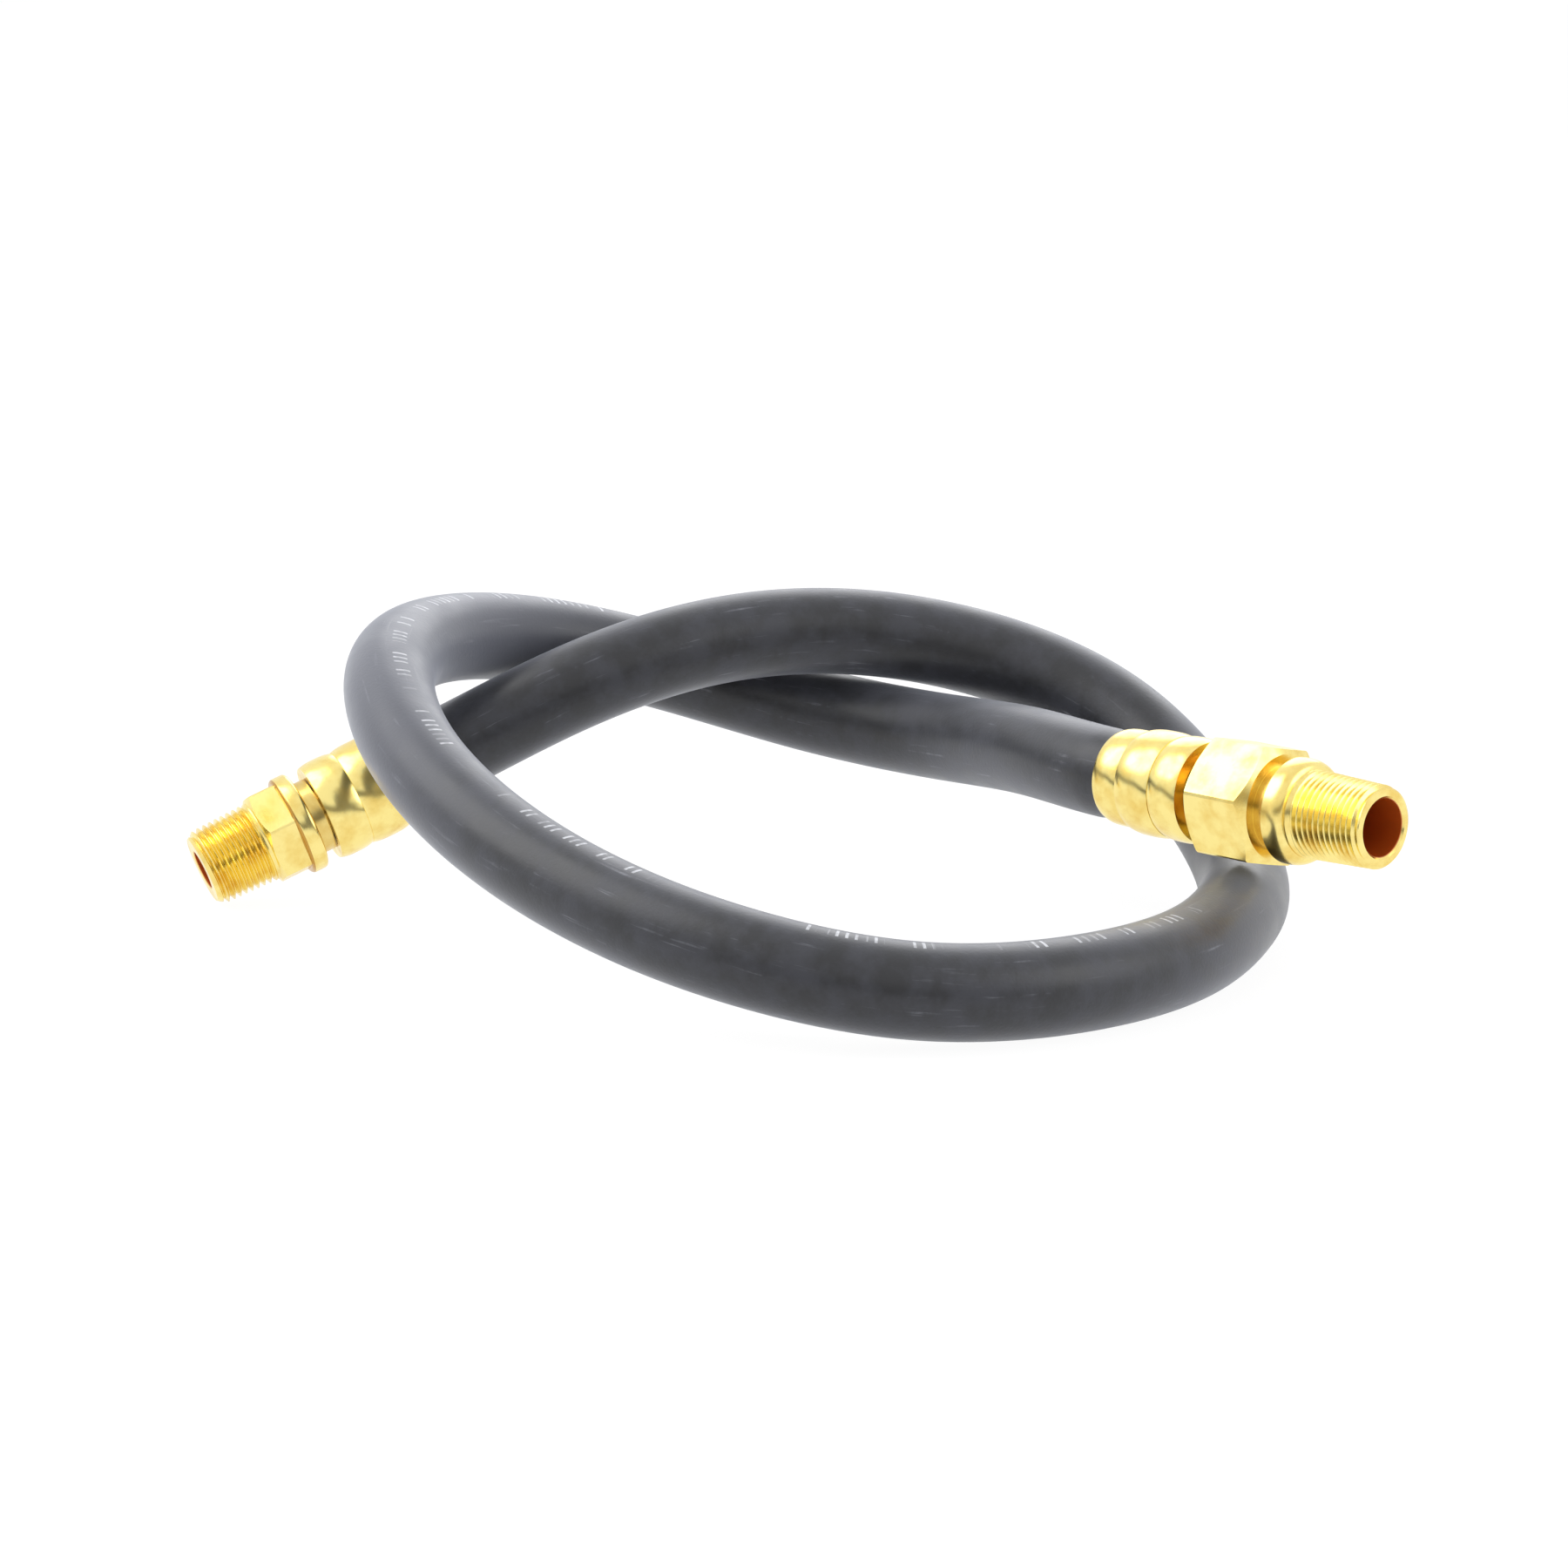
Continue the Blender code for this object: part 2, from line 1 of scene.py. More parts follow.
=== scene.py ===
"""Looks of the air brake hose: a looped rubber hose with a crimped brass pipe fitting at each end.

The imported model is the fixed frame. Every visible piece is built finer here, in the same place and
to the same sizes, and finished with procedural materials. All lengths are metres.
"""
import logging
import math
from dataclasses import dataclass, field
from enum import Enum
from typing import Any, Mapping, Optional, Sequence, Union

import bmesh
import bpy
import numpy as np
from mathutils import Matrix, Vector


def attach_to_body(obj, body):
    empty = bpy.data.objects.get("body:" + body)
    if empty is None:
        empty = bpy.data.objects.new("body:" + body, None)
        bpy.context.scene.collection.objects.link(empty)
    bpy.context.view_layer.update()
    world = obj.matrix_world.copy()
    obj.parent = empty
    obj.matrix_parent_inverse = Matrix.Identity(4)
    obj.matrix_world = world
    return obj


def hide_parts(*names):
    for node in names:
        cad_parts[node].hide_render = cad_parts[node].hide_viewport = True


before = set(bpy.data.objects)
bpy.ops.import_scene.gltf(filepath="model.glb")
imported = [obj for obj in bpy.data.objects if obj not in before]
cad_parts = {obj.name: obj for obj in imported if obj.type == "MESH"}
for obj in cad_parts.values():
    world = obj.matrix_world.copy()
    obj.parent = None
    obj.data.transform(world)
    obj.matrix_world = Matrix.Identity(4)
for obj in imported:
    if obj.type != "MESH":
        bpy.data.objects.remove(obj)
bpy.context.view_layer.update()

MM = 0.001
INCH = 0.0254
FERRULE_LENGTH = 23.8 * MM
FERRULE_LIP = 2.5 * MM
CRIMPED_HOSE = 17.9 * MM
STEM_NECK = 11.8 * MM
CLEARANCE = 0.3 * MM
HOSE_OUTSIDE = 0.75 * INCH
THREAD_PITCH = INCH / 18.0
JOIN_WITHIN = 1e-7
EDGE_WITHIN = 1e-8
LOG = logging.getLogger("air_brake_hose")
RingValue = Union[float, np.ndarray]

# Centre line of the free hose, from the fixed ferrule's mouth to the swivel ferrule's.
ROUTE = [
    (-0.0880, -0.0378, 0.0277),
    (-0.0733, -0.0104, 0.0417),
    (-0.0611, 0.0189, 0.0506),
    (-0.0468, 0.0488, 0.0521),
    (-0.0244, 0.0730, 0.0467),
    (0.0047, 0.0850, 0.0354),
    (0.0351, 0.0810, 0.0195),
    (0.0634, 0.0613, 0.0104),
    (0.0803, 0.0391, 0.0099),
    (0.0942, 0.0097, 0.0098),
    (0.0965, -0.0236, 0.0099),
    (0.0836, -0.0542, 0.0113),
    (0.0583, -0.0757, 0.0168),
    (0.0261, -0.0844, 0.0236),
    (-0.0066, -0.0852, 0.0322),
    (-0.0372, -0.0797, 0.0429),
    (-0.0645, -0.0642, 0.0527),
    (-0.0847, -0.0378, 0.0552),
    (-0.0911, -0.0057, 0.0515),
    (-0.0820, 0.0253, 0.0430),
    (-0.0567, 0.0487, 0.0334),
    (-0.0205, 0.0570, 0.0308),
    (0.0123, 0.0505, 0.0332),
    (0.0440, 0.0450, 0.0335),
]


class Body(Enum):
    """The two bodies that the swivel joins."""

    HOSE = "hose_assembly"
    SWIVEL = "swivel"


class Slot(Enum):
    """Names of the four kinds of material."""

    RUBBER = "hose_rubber"
    BRASS = "brass"
    SEAL = "seal_rubber"
    STEEL = "spring_steel"


def linear(colour: str) -> tuple[float, float, float, float]:
    """Turn an sRGB hex value into a linear colour with full alpha.

    Args:
        colour: The colour as "#rrggbb".

    Returns:
        Linear red, green and blue, and an alpha of 1.
    """
    parts = [int(colour[i:i + 2], 16) / 255.0 for i in (1, 3, 5)]
    red, green, blue = (
        part / 12.92 if part <= 0.04045 else ((part + 0.055) / 1.055) ** 2.4 for part in parts
    )
    return red, green, blue, 1.0


def add_node(
    tree: bpy.types.NodeTree,
    kind: str,
    settings: Optional[Mapping[str, Any]] = None,
    inputs: Optional[Mapping[Union[str, int], Any]] = None,
    stops: Sequence[tuple[float, tuple[float, float, float, float]]] = (),
) -> bpy.types.Node:
    """Add a node to a tree with its settings, values and links.

    Args:
        tree: The node tree that gets the node.
        kind: The node's type name.
        settings: The node's own properties by name.
        inputs: Values for the node's inputs by name or number; a socket is linked.
        stops: Place and colour of each stop of a colour ramp, in order.

    Returns:
        The new node.
    """
    node = tree.nodes.new(kind)
    for name, value in (settings or {}).items():
        setattr(node, name, value)
    for name, value in (inputs or {}).items():
        if isinstance(value, bpy.types.NodeSocket):
            tree.links.new(value, node.inputs[name])
        else:
            node.inputs[name].default_value = value
    for number, (place, colour) in enumerate(stops):
        elements = node.color_ramp.elements
        element = elements[number] if number < 2 else elements.new(place)
        element.position = place
        element.color = colour
    return node


def grey(value: float) -> tuple[float, float, float, float]:
    """Return a linear grey with full alpha."""
    return value, value, value, 1.0


def principled(name: str) -> tuple[bpy.types.Material, bpy.types.NodeTree, bpy.types.Node]:
    """Make a material that has only a Principled shader.

    Args:
        name: The material's name.

    Returns:
        The material, its node tree and its shader node.
    """
    made = bpy.data.materials.new(name)
    made.use_nodes = True
    tree = made.node_tree
    return made, tree, tree.nodes["Principled BSDF"]


@dataclass(frozen=True)
class FittingPlace:
    """Where a fitting sits: its ferrule's mouth, and the way it points in degrees."""

    mouth: tuple[float, float, float]
    heading: float
    tilt: float

    def way(self) -> Vector:
        """Return the way that the fitting points.

        Returns:
            The unit vector that runs out along the fitting.
        """
        turn = math.radians(self.heading)
        rise = math.radians(self.tilt)
        flat = math.cos(rise)
        return Vector((flat * math.cos(turn), flat * math.sin(turn), math.sin(rise)))

    def matrix(self) -> Matrix:
        """Return the fitting's own frame, with its Z axis out along the fitting."""
        turned = self.way().to_track_quat("Z", "Y").to_matrix().to_4x4()
        return Matrix.Translation(Vector(self.mouth)) @ turned


FIXED_PLACE = FittingPlace(ROUTE[0], -114.0, -22.3)
SWIVEL_PLACE = FittingPlace(ROUTE[-1], 0.0, 0.0)

# Start and end of each groove from its ferrule's mouth, 0.05 mm inside its walls so that the
# painted shade stays off the faces beside it, and how dark its painted shade is.
FIXED_GROOVES = ((23.85 * MM, 26.95 * MM, 0.30), (30.30 * MM, 30.95 * MM, 0.75))
SWIVEL_GROOVES = ((23.85 * MM, 27.35 * MM, 0.80), (43.95 * MM, 47.05 * MM, 0.45))
# Radii that take in each end's bore but not the rim of its mouth.
FIXED_BORE_MM = 4.35
SWIVEL_BORE_MM = 6.0


@dataclass(frozen=True)
class TurnedBrass:
    """Free-cutting brass turned bright on a lathe and left bare.

    It gives the eye a clean yellow metal with fine rings from the tool, which spread each highlight
    a little, and a faint amber bloom where it has begun to tarnish. The drilled bore is never
    polished and browns first, so an open end looks deep red-brown inside. The narrow grooves are
    painted a darker amber than the faces beside them, as painted shade for the shadow in them.
    """

    name: str
    place: FittingPlace
    grooves: tuple[tuple[float, float, float], ...]
    bore_mm: float
    bright: str = "#fbe793"
    amber: str = "#eac45f"
    drilled: str = "#c25a1e"
    # Painted shade: the grooves are mixed towards this darker amber where shadow falls in them.
    groove_shade: str = "#b0741f"
    drilled_metallic: float = 0.30
    bore_blend_mm: float = 0.15
    bloom_mm: float = 5.0
    bloom_stops: tuple[float, float] = (0.42, 0.80)
    gloss_span: tuple[float, float] = (0.3, 0.75)
    roughness_low: float = 0.17
    roughness_high: float = 0.28
    # A real tool leaves rings about 0.1 mm apart, too fine to show, so they are drawn coarser.
    tool_mark_mm: float = 0.35
    mark_height_mm: float = 0.010
    mark_strength: float = 0.6

    def material(self) -> bpy.types.Material:
        """Make the brass, with its rings round the fitting's axis.

        Returns:
            The material, which sits in the fitting's own frame.
        """
        made, tree, shader = principled(self.name)
        frame_here = self.place.matrix()
        fitting = add_node(
            tree, "ShaderNodeMapping", {"vector_type": "TEXTURE"},
            {"Vector": add_node(tree, "ShaderNodeTexCoord").outputs["Object"],
             "Location": frame_here.to_translation(), "Rotation": frame_here.to_euler()},
        )
        place = fitting.outputs["Vector"]
        split = add_node(tree, "ShaderNodeSeparateXYZ", inputs={0: place})
        flat = add_node(
            tree, "ShaderNodeCombineXYZ", inputs={0: split.outputs["X"], 1: split.outputs["Y"]}
        )
        radius = add_node(
            tree, "ShaderNodeVectorMath", {"operation": "LENGTH"}, {0: flat.outputs[0]}
        )
        rings = add_node(
            tree, "ShaderNodeCombineXYZ",
            inputs={0: radius.outputs["Value"], 2: split.outputs["Z"]},
        )
        marks = add_node(
            tree, "ShaderNodeTexNoise", None,
            {"Vector": rings.outputs[0], "Scale": 1.0 / (self.tool_mark_mm * MM), "Detail": 1.0},
        )
        bloom = add_node(
            tree, "ShaderNodeTexNoise", None,
            {"Vector": place, "Scale": 1.0 / (self.bloom_mm * MM), "Detail": 4.0,
             "Roughness": 0.55},
        )
        inside = add_node(
            tree, "ShaderNodeMapRange", None,
            {"Value": radius.outputs["Value"], "From Min": self.bore_mm * MM,
             "From Max": (self.bore_mm + self.bore_blend_mm) * MM, "To Min": 1.0, "To Max": 0.0},
        ).outputs["Result"]
        metal = add_node(
            tree, "ShaderNodeMapRange", None,
            {"Value": inside, "To Min": 1.0, "To Max": self.drilled_metallic},
        )
        rough = add_node(
            tree, "ShaderNodeMapRange", None,
            {"Value": bloom.outputs["Fac"], "From Min": self.gloss_span[0],
             "From Max": self.gloss_span[1], "To Min": self.roughness_low,
             "To Max": self.roughness_high},
        )
        bump = add_node(
            tree, "ShaderNodeBump", None,
            {"Height": marks.outputs["Fac"], "Distance": self.mark_height_mm * MM,
             "Strength": self.mark_strength},
        )
        colour = self.colours(tree, bloom.outputs["Fac"], inside, split.outputs["Z"])
        tree.links.new(colour, shader.inputs["Base Color"])
        tree.links.new(metal.outputs["Result"], shader.inputs["Metallic"])
        tree.links.new(rough.outputs["Result"], shader.inputs["Roughness"])
        tree.links.new(bump.outputs["Normal"], shader.inputs["Normal"])
        return made

    def colours(
        self, tree: bpy.types.NodeTree, bloom: bpy.types.NodeSocket, inside: bpy.types.NodeSocket,
        height: bpy.types.NodeSocket,
    ) -> bpy.types.NodeSocket:
        """Add the brass's colours: bright metal with its bloom, drilled bore, and painted shade in
        the grooves.

        Args:
            tree: The material's node tree.
            bloom: The noise of the tarnish.
            inside: 1 in the drilled bore and 0 outside it.
            height: Height along the fitting from its ferrule's mouth.

        Returns:
            The colour that they give together.
        """
        colour = add_node(
            tree, "ShaderNodeValToRGB", None, {"Fac": bloom},
            list(zip(self.bloom_stops, (linear(self.bright), linear(self.amber)))),
        ).outputs["Color"]
        layers = [(inside, self.drilled)]
        # Painted shade in each groove, as deep as its share.
        for start, end, share in self.grooves:
            within = add_node(
                tree, "ShaderNodeMath", {"operation": "COMPARE"},
                {0: height, 1: (start + end) / 2.0, 2: (end - start) / 2.0},
            )
            shaded = add_node(
                tree, "ShaderNodeMapRange", None, {"Value": within.outputs[0], "To Max": share}
            )
            layers.append((shaded.outputs["Result"], self.groove_shade))
        for share, hue in layers:
            colour = add_node(
                tree, "ShaderNodeMix", {"data_type": "RGBA"}, {0: share, 6: colour, 7: linear(hue)}
            ).outputs[2]
        return colour


@dataclass(frozen=True)
class WornPrint:
    """What is left of a line of print along a hose: short upright strokes, in groups, mostly gone.

    It gives the eye the dotted white line of a printed hose without a letter or a number in it.
    Each edge is a pair of values of its pattern, between which the ink goes from none to full.
    """

    colour: str = "#c4c6cc"
    turn_degrees: float = 294.0
    height_mm: float = 3.0
    stroke_mm: float = 1.9
    group_mm: float = 23.0
    wear_mm: float = 1.6
    fade_mm: float = 5.0
    patch_mm: float = 30.0
    middle: float = 0.48
    reach: float = 0.165
    strength: float = 0.9
    rim: tuple[float, float] = (0.45, 0.55)
    switch_edge: tuple[float, float] = (0.4, 0.6)
    stroke_edge: tuple[float, float] = (0.30, 0.38)
    kept_edge: tuple[float, float] = (0.22, 0.23)
    group_edge: tuple[float, float] = (0.08, 0.10)
    wear_edge: tuple[float, float] = (0.35, 0.55)
    fade_edge: tuple[float, float] = (0.36, 0.52)
    patch_edge: tuple[float, float] = (0.34, 0.46)
    worn_least: float = 0.5

    def share(
        self, tree: bpy.types.NodeTree, along: bpy.types.NodeSocket, place: bpy.types.NodeSocket,
        round_it: float,
    ) -> bpy.types.NodeSocket:
        """Add the strokes to a material.

        Args:
            tree: The material's node tree.
            along: Metres along the hose and metres round it.
            place: Object coordinates, for the wear.
            round_it: Metres once round the hose.

        Returns:
            The share of print colour, from 0 to the strength.
        """
        split = add_node(tree, "ShaderNodeSeparateXYZ", inputs={0: along})
        strokes = add_node(
            tree, "ShaderNodeMath", {"operation": "DIVIDE"},
            {0: split.outputs["X"], 1: self.stroke_mm * MM},
        )
        number = add_node(tree, "ShaderNodeMath", {"operation": "FLOOR"}, {0: strokes.outputs[0]})
        kept = add_node(
            tree, "ShaderNodeTexWhiteNoise", {"noise_dimensions": "1D"}, {"W": number.outputs[0]}
        )
        across = add_node(
            tree, "ShaderNodeMath", {"operation": "SUBTRACT"},
            {0: split.outputs["Y"], 1: self.turn_degrees / 360.0 * round_it},
        )
        groups = add_node(
            tree, "ShaderNodeMath", {"operation": "DIVIDE"},
            {0: split.outputs["X"], 1: self.group_mm * MM},
        )
        wear = add_node(
            tree, "ShaderNodeTexNoise", None,
            {"Vector": place, "Scale": 1.0 / (self.wear_mm * MM), "Detail": 2.0},
        )
        fade, patches = (
            add_node(
                tree, "ShaderNodeTexNoise", {"noise_dimensions": "1D"},
                {"W": split.outputs["X"], "Scale": 1.0 / (size * MM), "Detail": 1.0},
            )
            for size in (self.fade_mm, self.patch_mm)
        )
        # Each test: its operation, the two values it takes, its edge, and the least that passes.
        tests = (
            ("COMPARE", split.outputs["X"], self.middle, self.switch_edge, 0.0),
            ("PINGPONG", strokes.outputs[0], 0.5, self.stroke_edge, 0.0),
            ("ADD", kept.outputs["Value"], 0.0, self.kept_edge, 0.0),
            ("PINGPONG", groups.outputs[0], 0.5, self.group_edge, 0.0),
            ("ADD", wear.outputs["Fac"], 0.0, self.wear_edge, self.worn_least),
            ("ADD", fade.outputs["Fac"], 0.0, self.fade_edge, 0.0),
            ("ADD", patches.outputs["Fac"], 0.0, self.patch_edge, 0.0),
        )
        height = add_node(tree, "ShaderNodeMath", {"operation": "ABSOLUTE"}, {0: across.outputs[0]})
        share = add_node(
            tree, "ShaderNodeMapRange", None,
            {"Value": height.outputs[0], "From Min": self.rim[0] * self.height_mm * MM,
             "From Max": self.rim[1] * self.height_mm * MM, "To Min": self.strength,
             "To Max": 0.0},
        ).outputs["Result"]
        for operation, value, by, edge, least in tests:
            shaped = add_node(
                tree, "ShaderNodeMath", {"operation": operation},
                {0: value, 1: by, 2: self.reach},
            )
            passed = add_node(
                tree, "ShaderNodeMapRange", None,
                {"Value": shaped.outputs[0], "From Min": edge[0], "From Max": edge[1],
                 "To Min": least},
            )
            share = add_node(
                tree, "ShaderNodeMath", {"operation": "MULTIPLY"},
                {0: share, 1: passed.outputs["Result"]},
            ).outputs[0]
        return share


@dataclass(frozen=True)
class HoseRubber:
    """Black synthetic rubber cover, cured smooth and handled.

    It gives the eye a dark, faintly blue grey with a powdery rim where it turns away. Wax that
    blooms out of the rubber mottles it, the stretch where it bends up and over is greyed as painted
    light, pale scuffs run along it, and a worn line of print follows it.
    """

    round_it: float
    name: str = "black_hose_rubber"
    dark: str = "#17171a"
    bloom: str = "#2b2c33"
    # Painted light: the paler grey of the stretch where the loop bends up and over, as if lit
    # brighter.
    lit_stretch: str = "#565861"
    scuff: str = "#85878f"
    sheen: str = "#d2d6e2"
    print_line: WornPrint = WornPrint()
    lit_middle: float = 0.570
    lit_reach: float = 0.10
    lit_full: float = 0.25
    bloom_mm: float = 9.0
    bloom_stops: tuple[float, float] = (0.41, 0.62)
    # The real grain is near 0.1 mm, too fine to show, so it is drawn coarser.
    grain_mm: float = 0.7
    grain_height_mm: float = 0.06
    grain_strength: float = 0.5
    scuff_width_mm: float = 1.2
    scuff_length_mm: float = 22.0
    scuff_edge: tuple[float, float] = (0.60, 0.80)
    scuff_patch: tuple[float, float] = (0.48, 0.66)
    gloss_span: tuple[float, float] = (0.3, 0.7)
    roughness_low: float = 0.32
    roughness_high: float = 0.46
    sheen_weight: float = 0.60
    sheen_roughness: float = 0.50

    def material(self) -> bpy.types.Material:
        """Make the rubber, which needs a UV map of metres along the hose and metres round it.

        Returns:
            The material.
        """
        made, tree, shader = principled(self.name)
        place = add_node(tree, "ShaderNodeTexCoord").outputs["Object"]
        along = add_node(tree, "ShaderNodeUVMap", {"uv_map": "hose_metres"}).outputs["UV"]
        bloom = add_node(
            tree, "ShaderNodeTexNoise", None,
            {"Vector": place, "Scale": 1.0 / (self.bloom_mm * MM), "Detail": 5.0,
             "Roughness": 0.6},
        )
        colour = self.layers(tree, place, along, bloom.outputs["Fac"])
        rough = add_node(
            tree, "ShaderNodeMapRange", None,
            {"Value": bloom.outputs["Fac"], "From Min": self.gloss_span[0],
             "From Max": self.gloss_span[1], "To Min": self.roughness_low,
             "To Max": self.roughness_high},
        )
        grain = add_node(
            tree, "ShaderNodeTexNoise", None,
            {"Vector": place, "Scale": 1.0 / (self.grain_mm * MM), "Detail": 2.0},
        )
        bump = add_node(
            tree, "ShaderNodeBump", None,
            {"Height": grain.outputs["Fac"], "Distance": self.grain_height_mm * MM,
             "Strength": self.grain_strength},
        )
        tree.links.new(colour, shader.inputs["Base Color"])
        tree.links.new(rough.outputs["Result"], shader.inputs["Roughness"])
        tree.links.new(bump.outputs["Normal"], shader.inputs["Normal"])
        shader.inputs["Sheen Weight"].default_value = self.sheen_weight
        shader.inputs["Sheen Roughness"].default_value = self.sheen_roughness
        shader.inputs["Sheen Tint"].default_value = linear(self.sheen)
        return made

    def layers(
        self, tree: bpy.types.NodeTree, place: bpy.types.NodeSocket, along: bpy.types.NodeSocket,
        bloom: bpy.types.NodeSocket,
    ) -> bpy.types.NodeSocket:
        """Add the cover's colours: mottled rubber, painted light on the stretch that bends up and
        over, scuffs and print.

        Args:
            tree: The material's node tree.
            place: Object coordinates.
            along: Metres along the hose and metres round it.
            bloom: The mottling noise.

        Returns:
            The colour that they give together.
        """
        cover = add_node(
            tree, "ShaderNodeValToRGB", None, {"Fac": bloom},
            list(zip(self.bloom_stops, (linear(self.dark), linear(self.bloom)))),
        )
        length = add_node(tree, "ShaderNodeSeparateXYZ", inputs={0: along}).outputs["X"]
        # Painted light: the stretch where the loop bends up and over is mixed towards a paler grey,
        # fading out along the hose.
        away = add_node(
            tree, "ShaderNodeMath", {"operation": "SUBTRACT"}, {0: length, 1: self.lit_middle}
        )
        away = add_node(tree, "ShaderNodeMath", {"operation": "ABSOLUTE"}, {0: away.outputs[0]})
        near = add_node(
            tree, "ShaderNodeMapRange", {"interpolation_type": "SMOOTHSTEP"},
            {"Value": away.outputs[0], "From Min": self.lit_full * self.lit_reach,
             "From Max": self.lit_reach, "To Min": 1.0, "To Max": 0.0},
        )
        stretched = add_node(
            tree, "ShaderNodeMapping", None,
            {"Vector": along,
             "Scale": (1.0 / (self.scuff_length_mm * MM), 1.0 / (self.scuff_width_mm * MM), 1.0)},
        )
        scuffs = add_node(
            tree, "ShaderNodeTexNoise", None,
            {"Vector": stretched.outputs["Vector"], "Scale": 1.0, "Detail": 3.0,
             "Roughness": 0.6},
        )
        scuffed = add_node(
            tree, "ShaderNodeMapRange", None,
            {"Value": scuffs.outputs["Fac"], "From Min": self.scuff_edge[0],
             "From Max": self.scuff_edge[1]},
        )
        patches = add_node(
            tree, "ShaderNodeMapRange", None,
            {"Value": bloom, "From Min": self.scuff_patch[0], "From Max": self.scuff_patch[1]},
        )
        patched = add_node(
            tree, "ShaderNodeMath", {"operation": "MULTIPLY"},
            {0: scuffed.outputs["Result"], 1: patches.outputs["Result"]},
        )
        printed = self.print_line.share(tree, along, place, self.round_it)
        colour = cover.outputs["Color"]
        for share, hue in (
            (near.outputs["Result"], self.lit_stretch),
            (patched.outputs[0], self.scuff),
            (printed, self.print_line.colour),
        ):
            colour = add_node(
                tree, "ShaderNodeMix", {"data_type": "RGBA"}, {0: share, 6: colour, 7: linear(hue)}
            ).outputs[2]
        return colour


@dataclass(frozen=True)
class SealRubber:
    """Moulded nitrile rubber, greased: nearly black with a soft wet gloss."""

    name: str = "nitrile_seal_rubber"
    colour: str = "#1b1b1c"
    roughness: float = 0.32
    # The mould's grain is nearer 0.05 mm, too fine to show, so it is drawn coarser.
    grain_mm: float = 0.4
    grain_height_mm: float = 0.02
    grain_strength: float = 0.4

    def material(self) -> bpy.types.Material:
        """Make the seal's rubber.

        Returns:
            The material.
        """
        made, tree, shader = principled(self.name)
        place = add_node(tree, "ShaderNodeTexCoord").outputs["Object"]
        grain = add_node(
            tree, "ShaderNodeTexNoise", None,
            {"Vector": place, "Scale": 1.0 / (self.grain_mm * MM), "Detail": 2.0},
        )
        bump = add_node(
            tree, "ShaderNodeBump", None,
            {"Height": grain.outputs["Fac"], "Distance": self.grain_height_mm * MM,
             "Strength": self.grain_strength},
        )
        shader.inputs["Base Color"].default_value = linear(self.colour)
        shader.inputs["Roughness"].default_value = self.roughness
        tree.links.new(bump.outputs["Normal"], shader.inputs["Normal"])
        return made


@dataclass(frozen=True)
class SpringSteel:
    """Drawn spring steel wire: grey metal with fine lines from the die."""

    name: str = "drawn_spring_steel"
    colour: str = "#b4b6ba"
    # The die's lines are nearer 0.02 mm apart, too fine to show, so they are drawn coarser.
    line_mm: float = 0.25
    roughness_low: float = 0.25
    roughness_high: float = 0.45

    def material(self) -> bpy.types.Material:
        """Make the wire's steel.

        Returns:
            The material.
        """
        made, tree, shader = principled(self.name)
        place = add_node(tree, "ShaderNodeTexCoord").outputs["Object"]
        lines = add_node(
            tree, "ShaderNodeTexNoise", None,
            {"Vector": place, "Scale": 1.0 / (self.line_mm * MM), "Detail": 2.0},
        )
        rough = add_node(
            tree, "ShaderNodeMapRange", None,
            {"Value": lines.outputs["Fac"], "To Min": self.roughness_low,
             "To Max": self.roughness_high},
        )
        shader.inputs["Base Color"].default_value = linear(self.colour)
        shader.inputs["Metallic"].default_value = 1.0
        tree.links.new(rough.outputs["Result"], shader.inputs["Roughness"])
        return made


@dataclass(frozen=True)
class PipeThread:
    """Male taper pipe thread, 3/8 in with 18 turns to the inch and flanks at 60 degrees."""

    end_diameter: float = 17.055 * MM
    taper: float = 1.0 / 16.0
    pitch: float = THREAD_PITCH
    depth: float = 0.80 * THREAD_PITCH
    crest_share: float = 0.06
    fade_turns: float = 1.2
    lead_slope: float = 0.75

    def crest(self, from_end: RingValue) -> RingValue:
        """Return the crest's radius at a distance back from the end face."""
        return self.end_diameter / 2.0 + from_end * self.taper / 2.0

    def phases(self) -> list[float]:
        """Find where one turn's edges lie.

        Returns:
            The places of the crest's, flanks' and root's edges, as shares of the pitch.
        """
        half = self.crest_share / 2.0
        return [-half, half, 0.25, 0.5 - half, 0.5 + half, 0.75]

    def cut(self, phase: np.ndarray) -> np.ndarray:
        """Find how deep the groove is cut.

        Args:
            phase: Place within the turn, where a crest's middle is at every whole number.

        Returns:
            The share of the full depth, from 0 on the crest to 1 at the root.
        """
        away = np.abs(phase - np.round(phase))
        half = self.crest_share / 2.0
        return np.clip((away - half) / (0.5 - 2.0 * half), 0.0, 1.0)


@dataclass(frozen=True)
class HexShape:
    """Sizes of a hexagon: its flats, the round face left at its ends, and the chamfer between."""

    across_flats: float
    face: float
    chamfer: float = 30.0


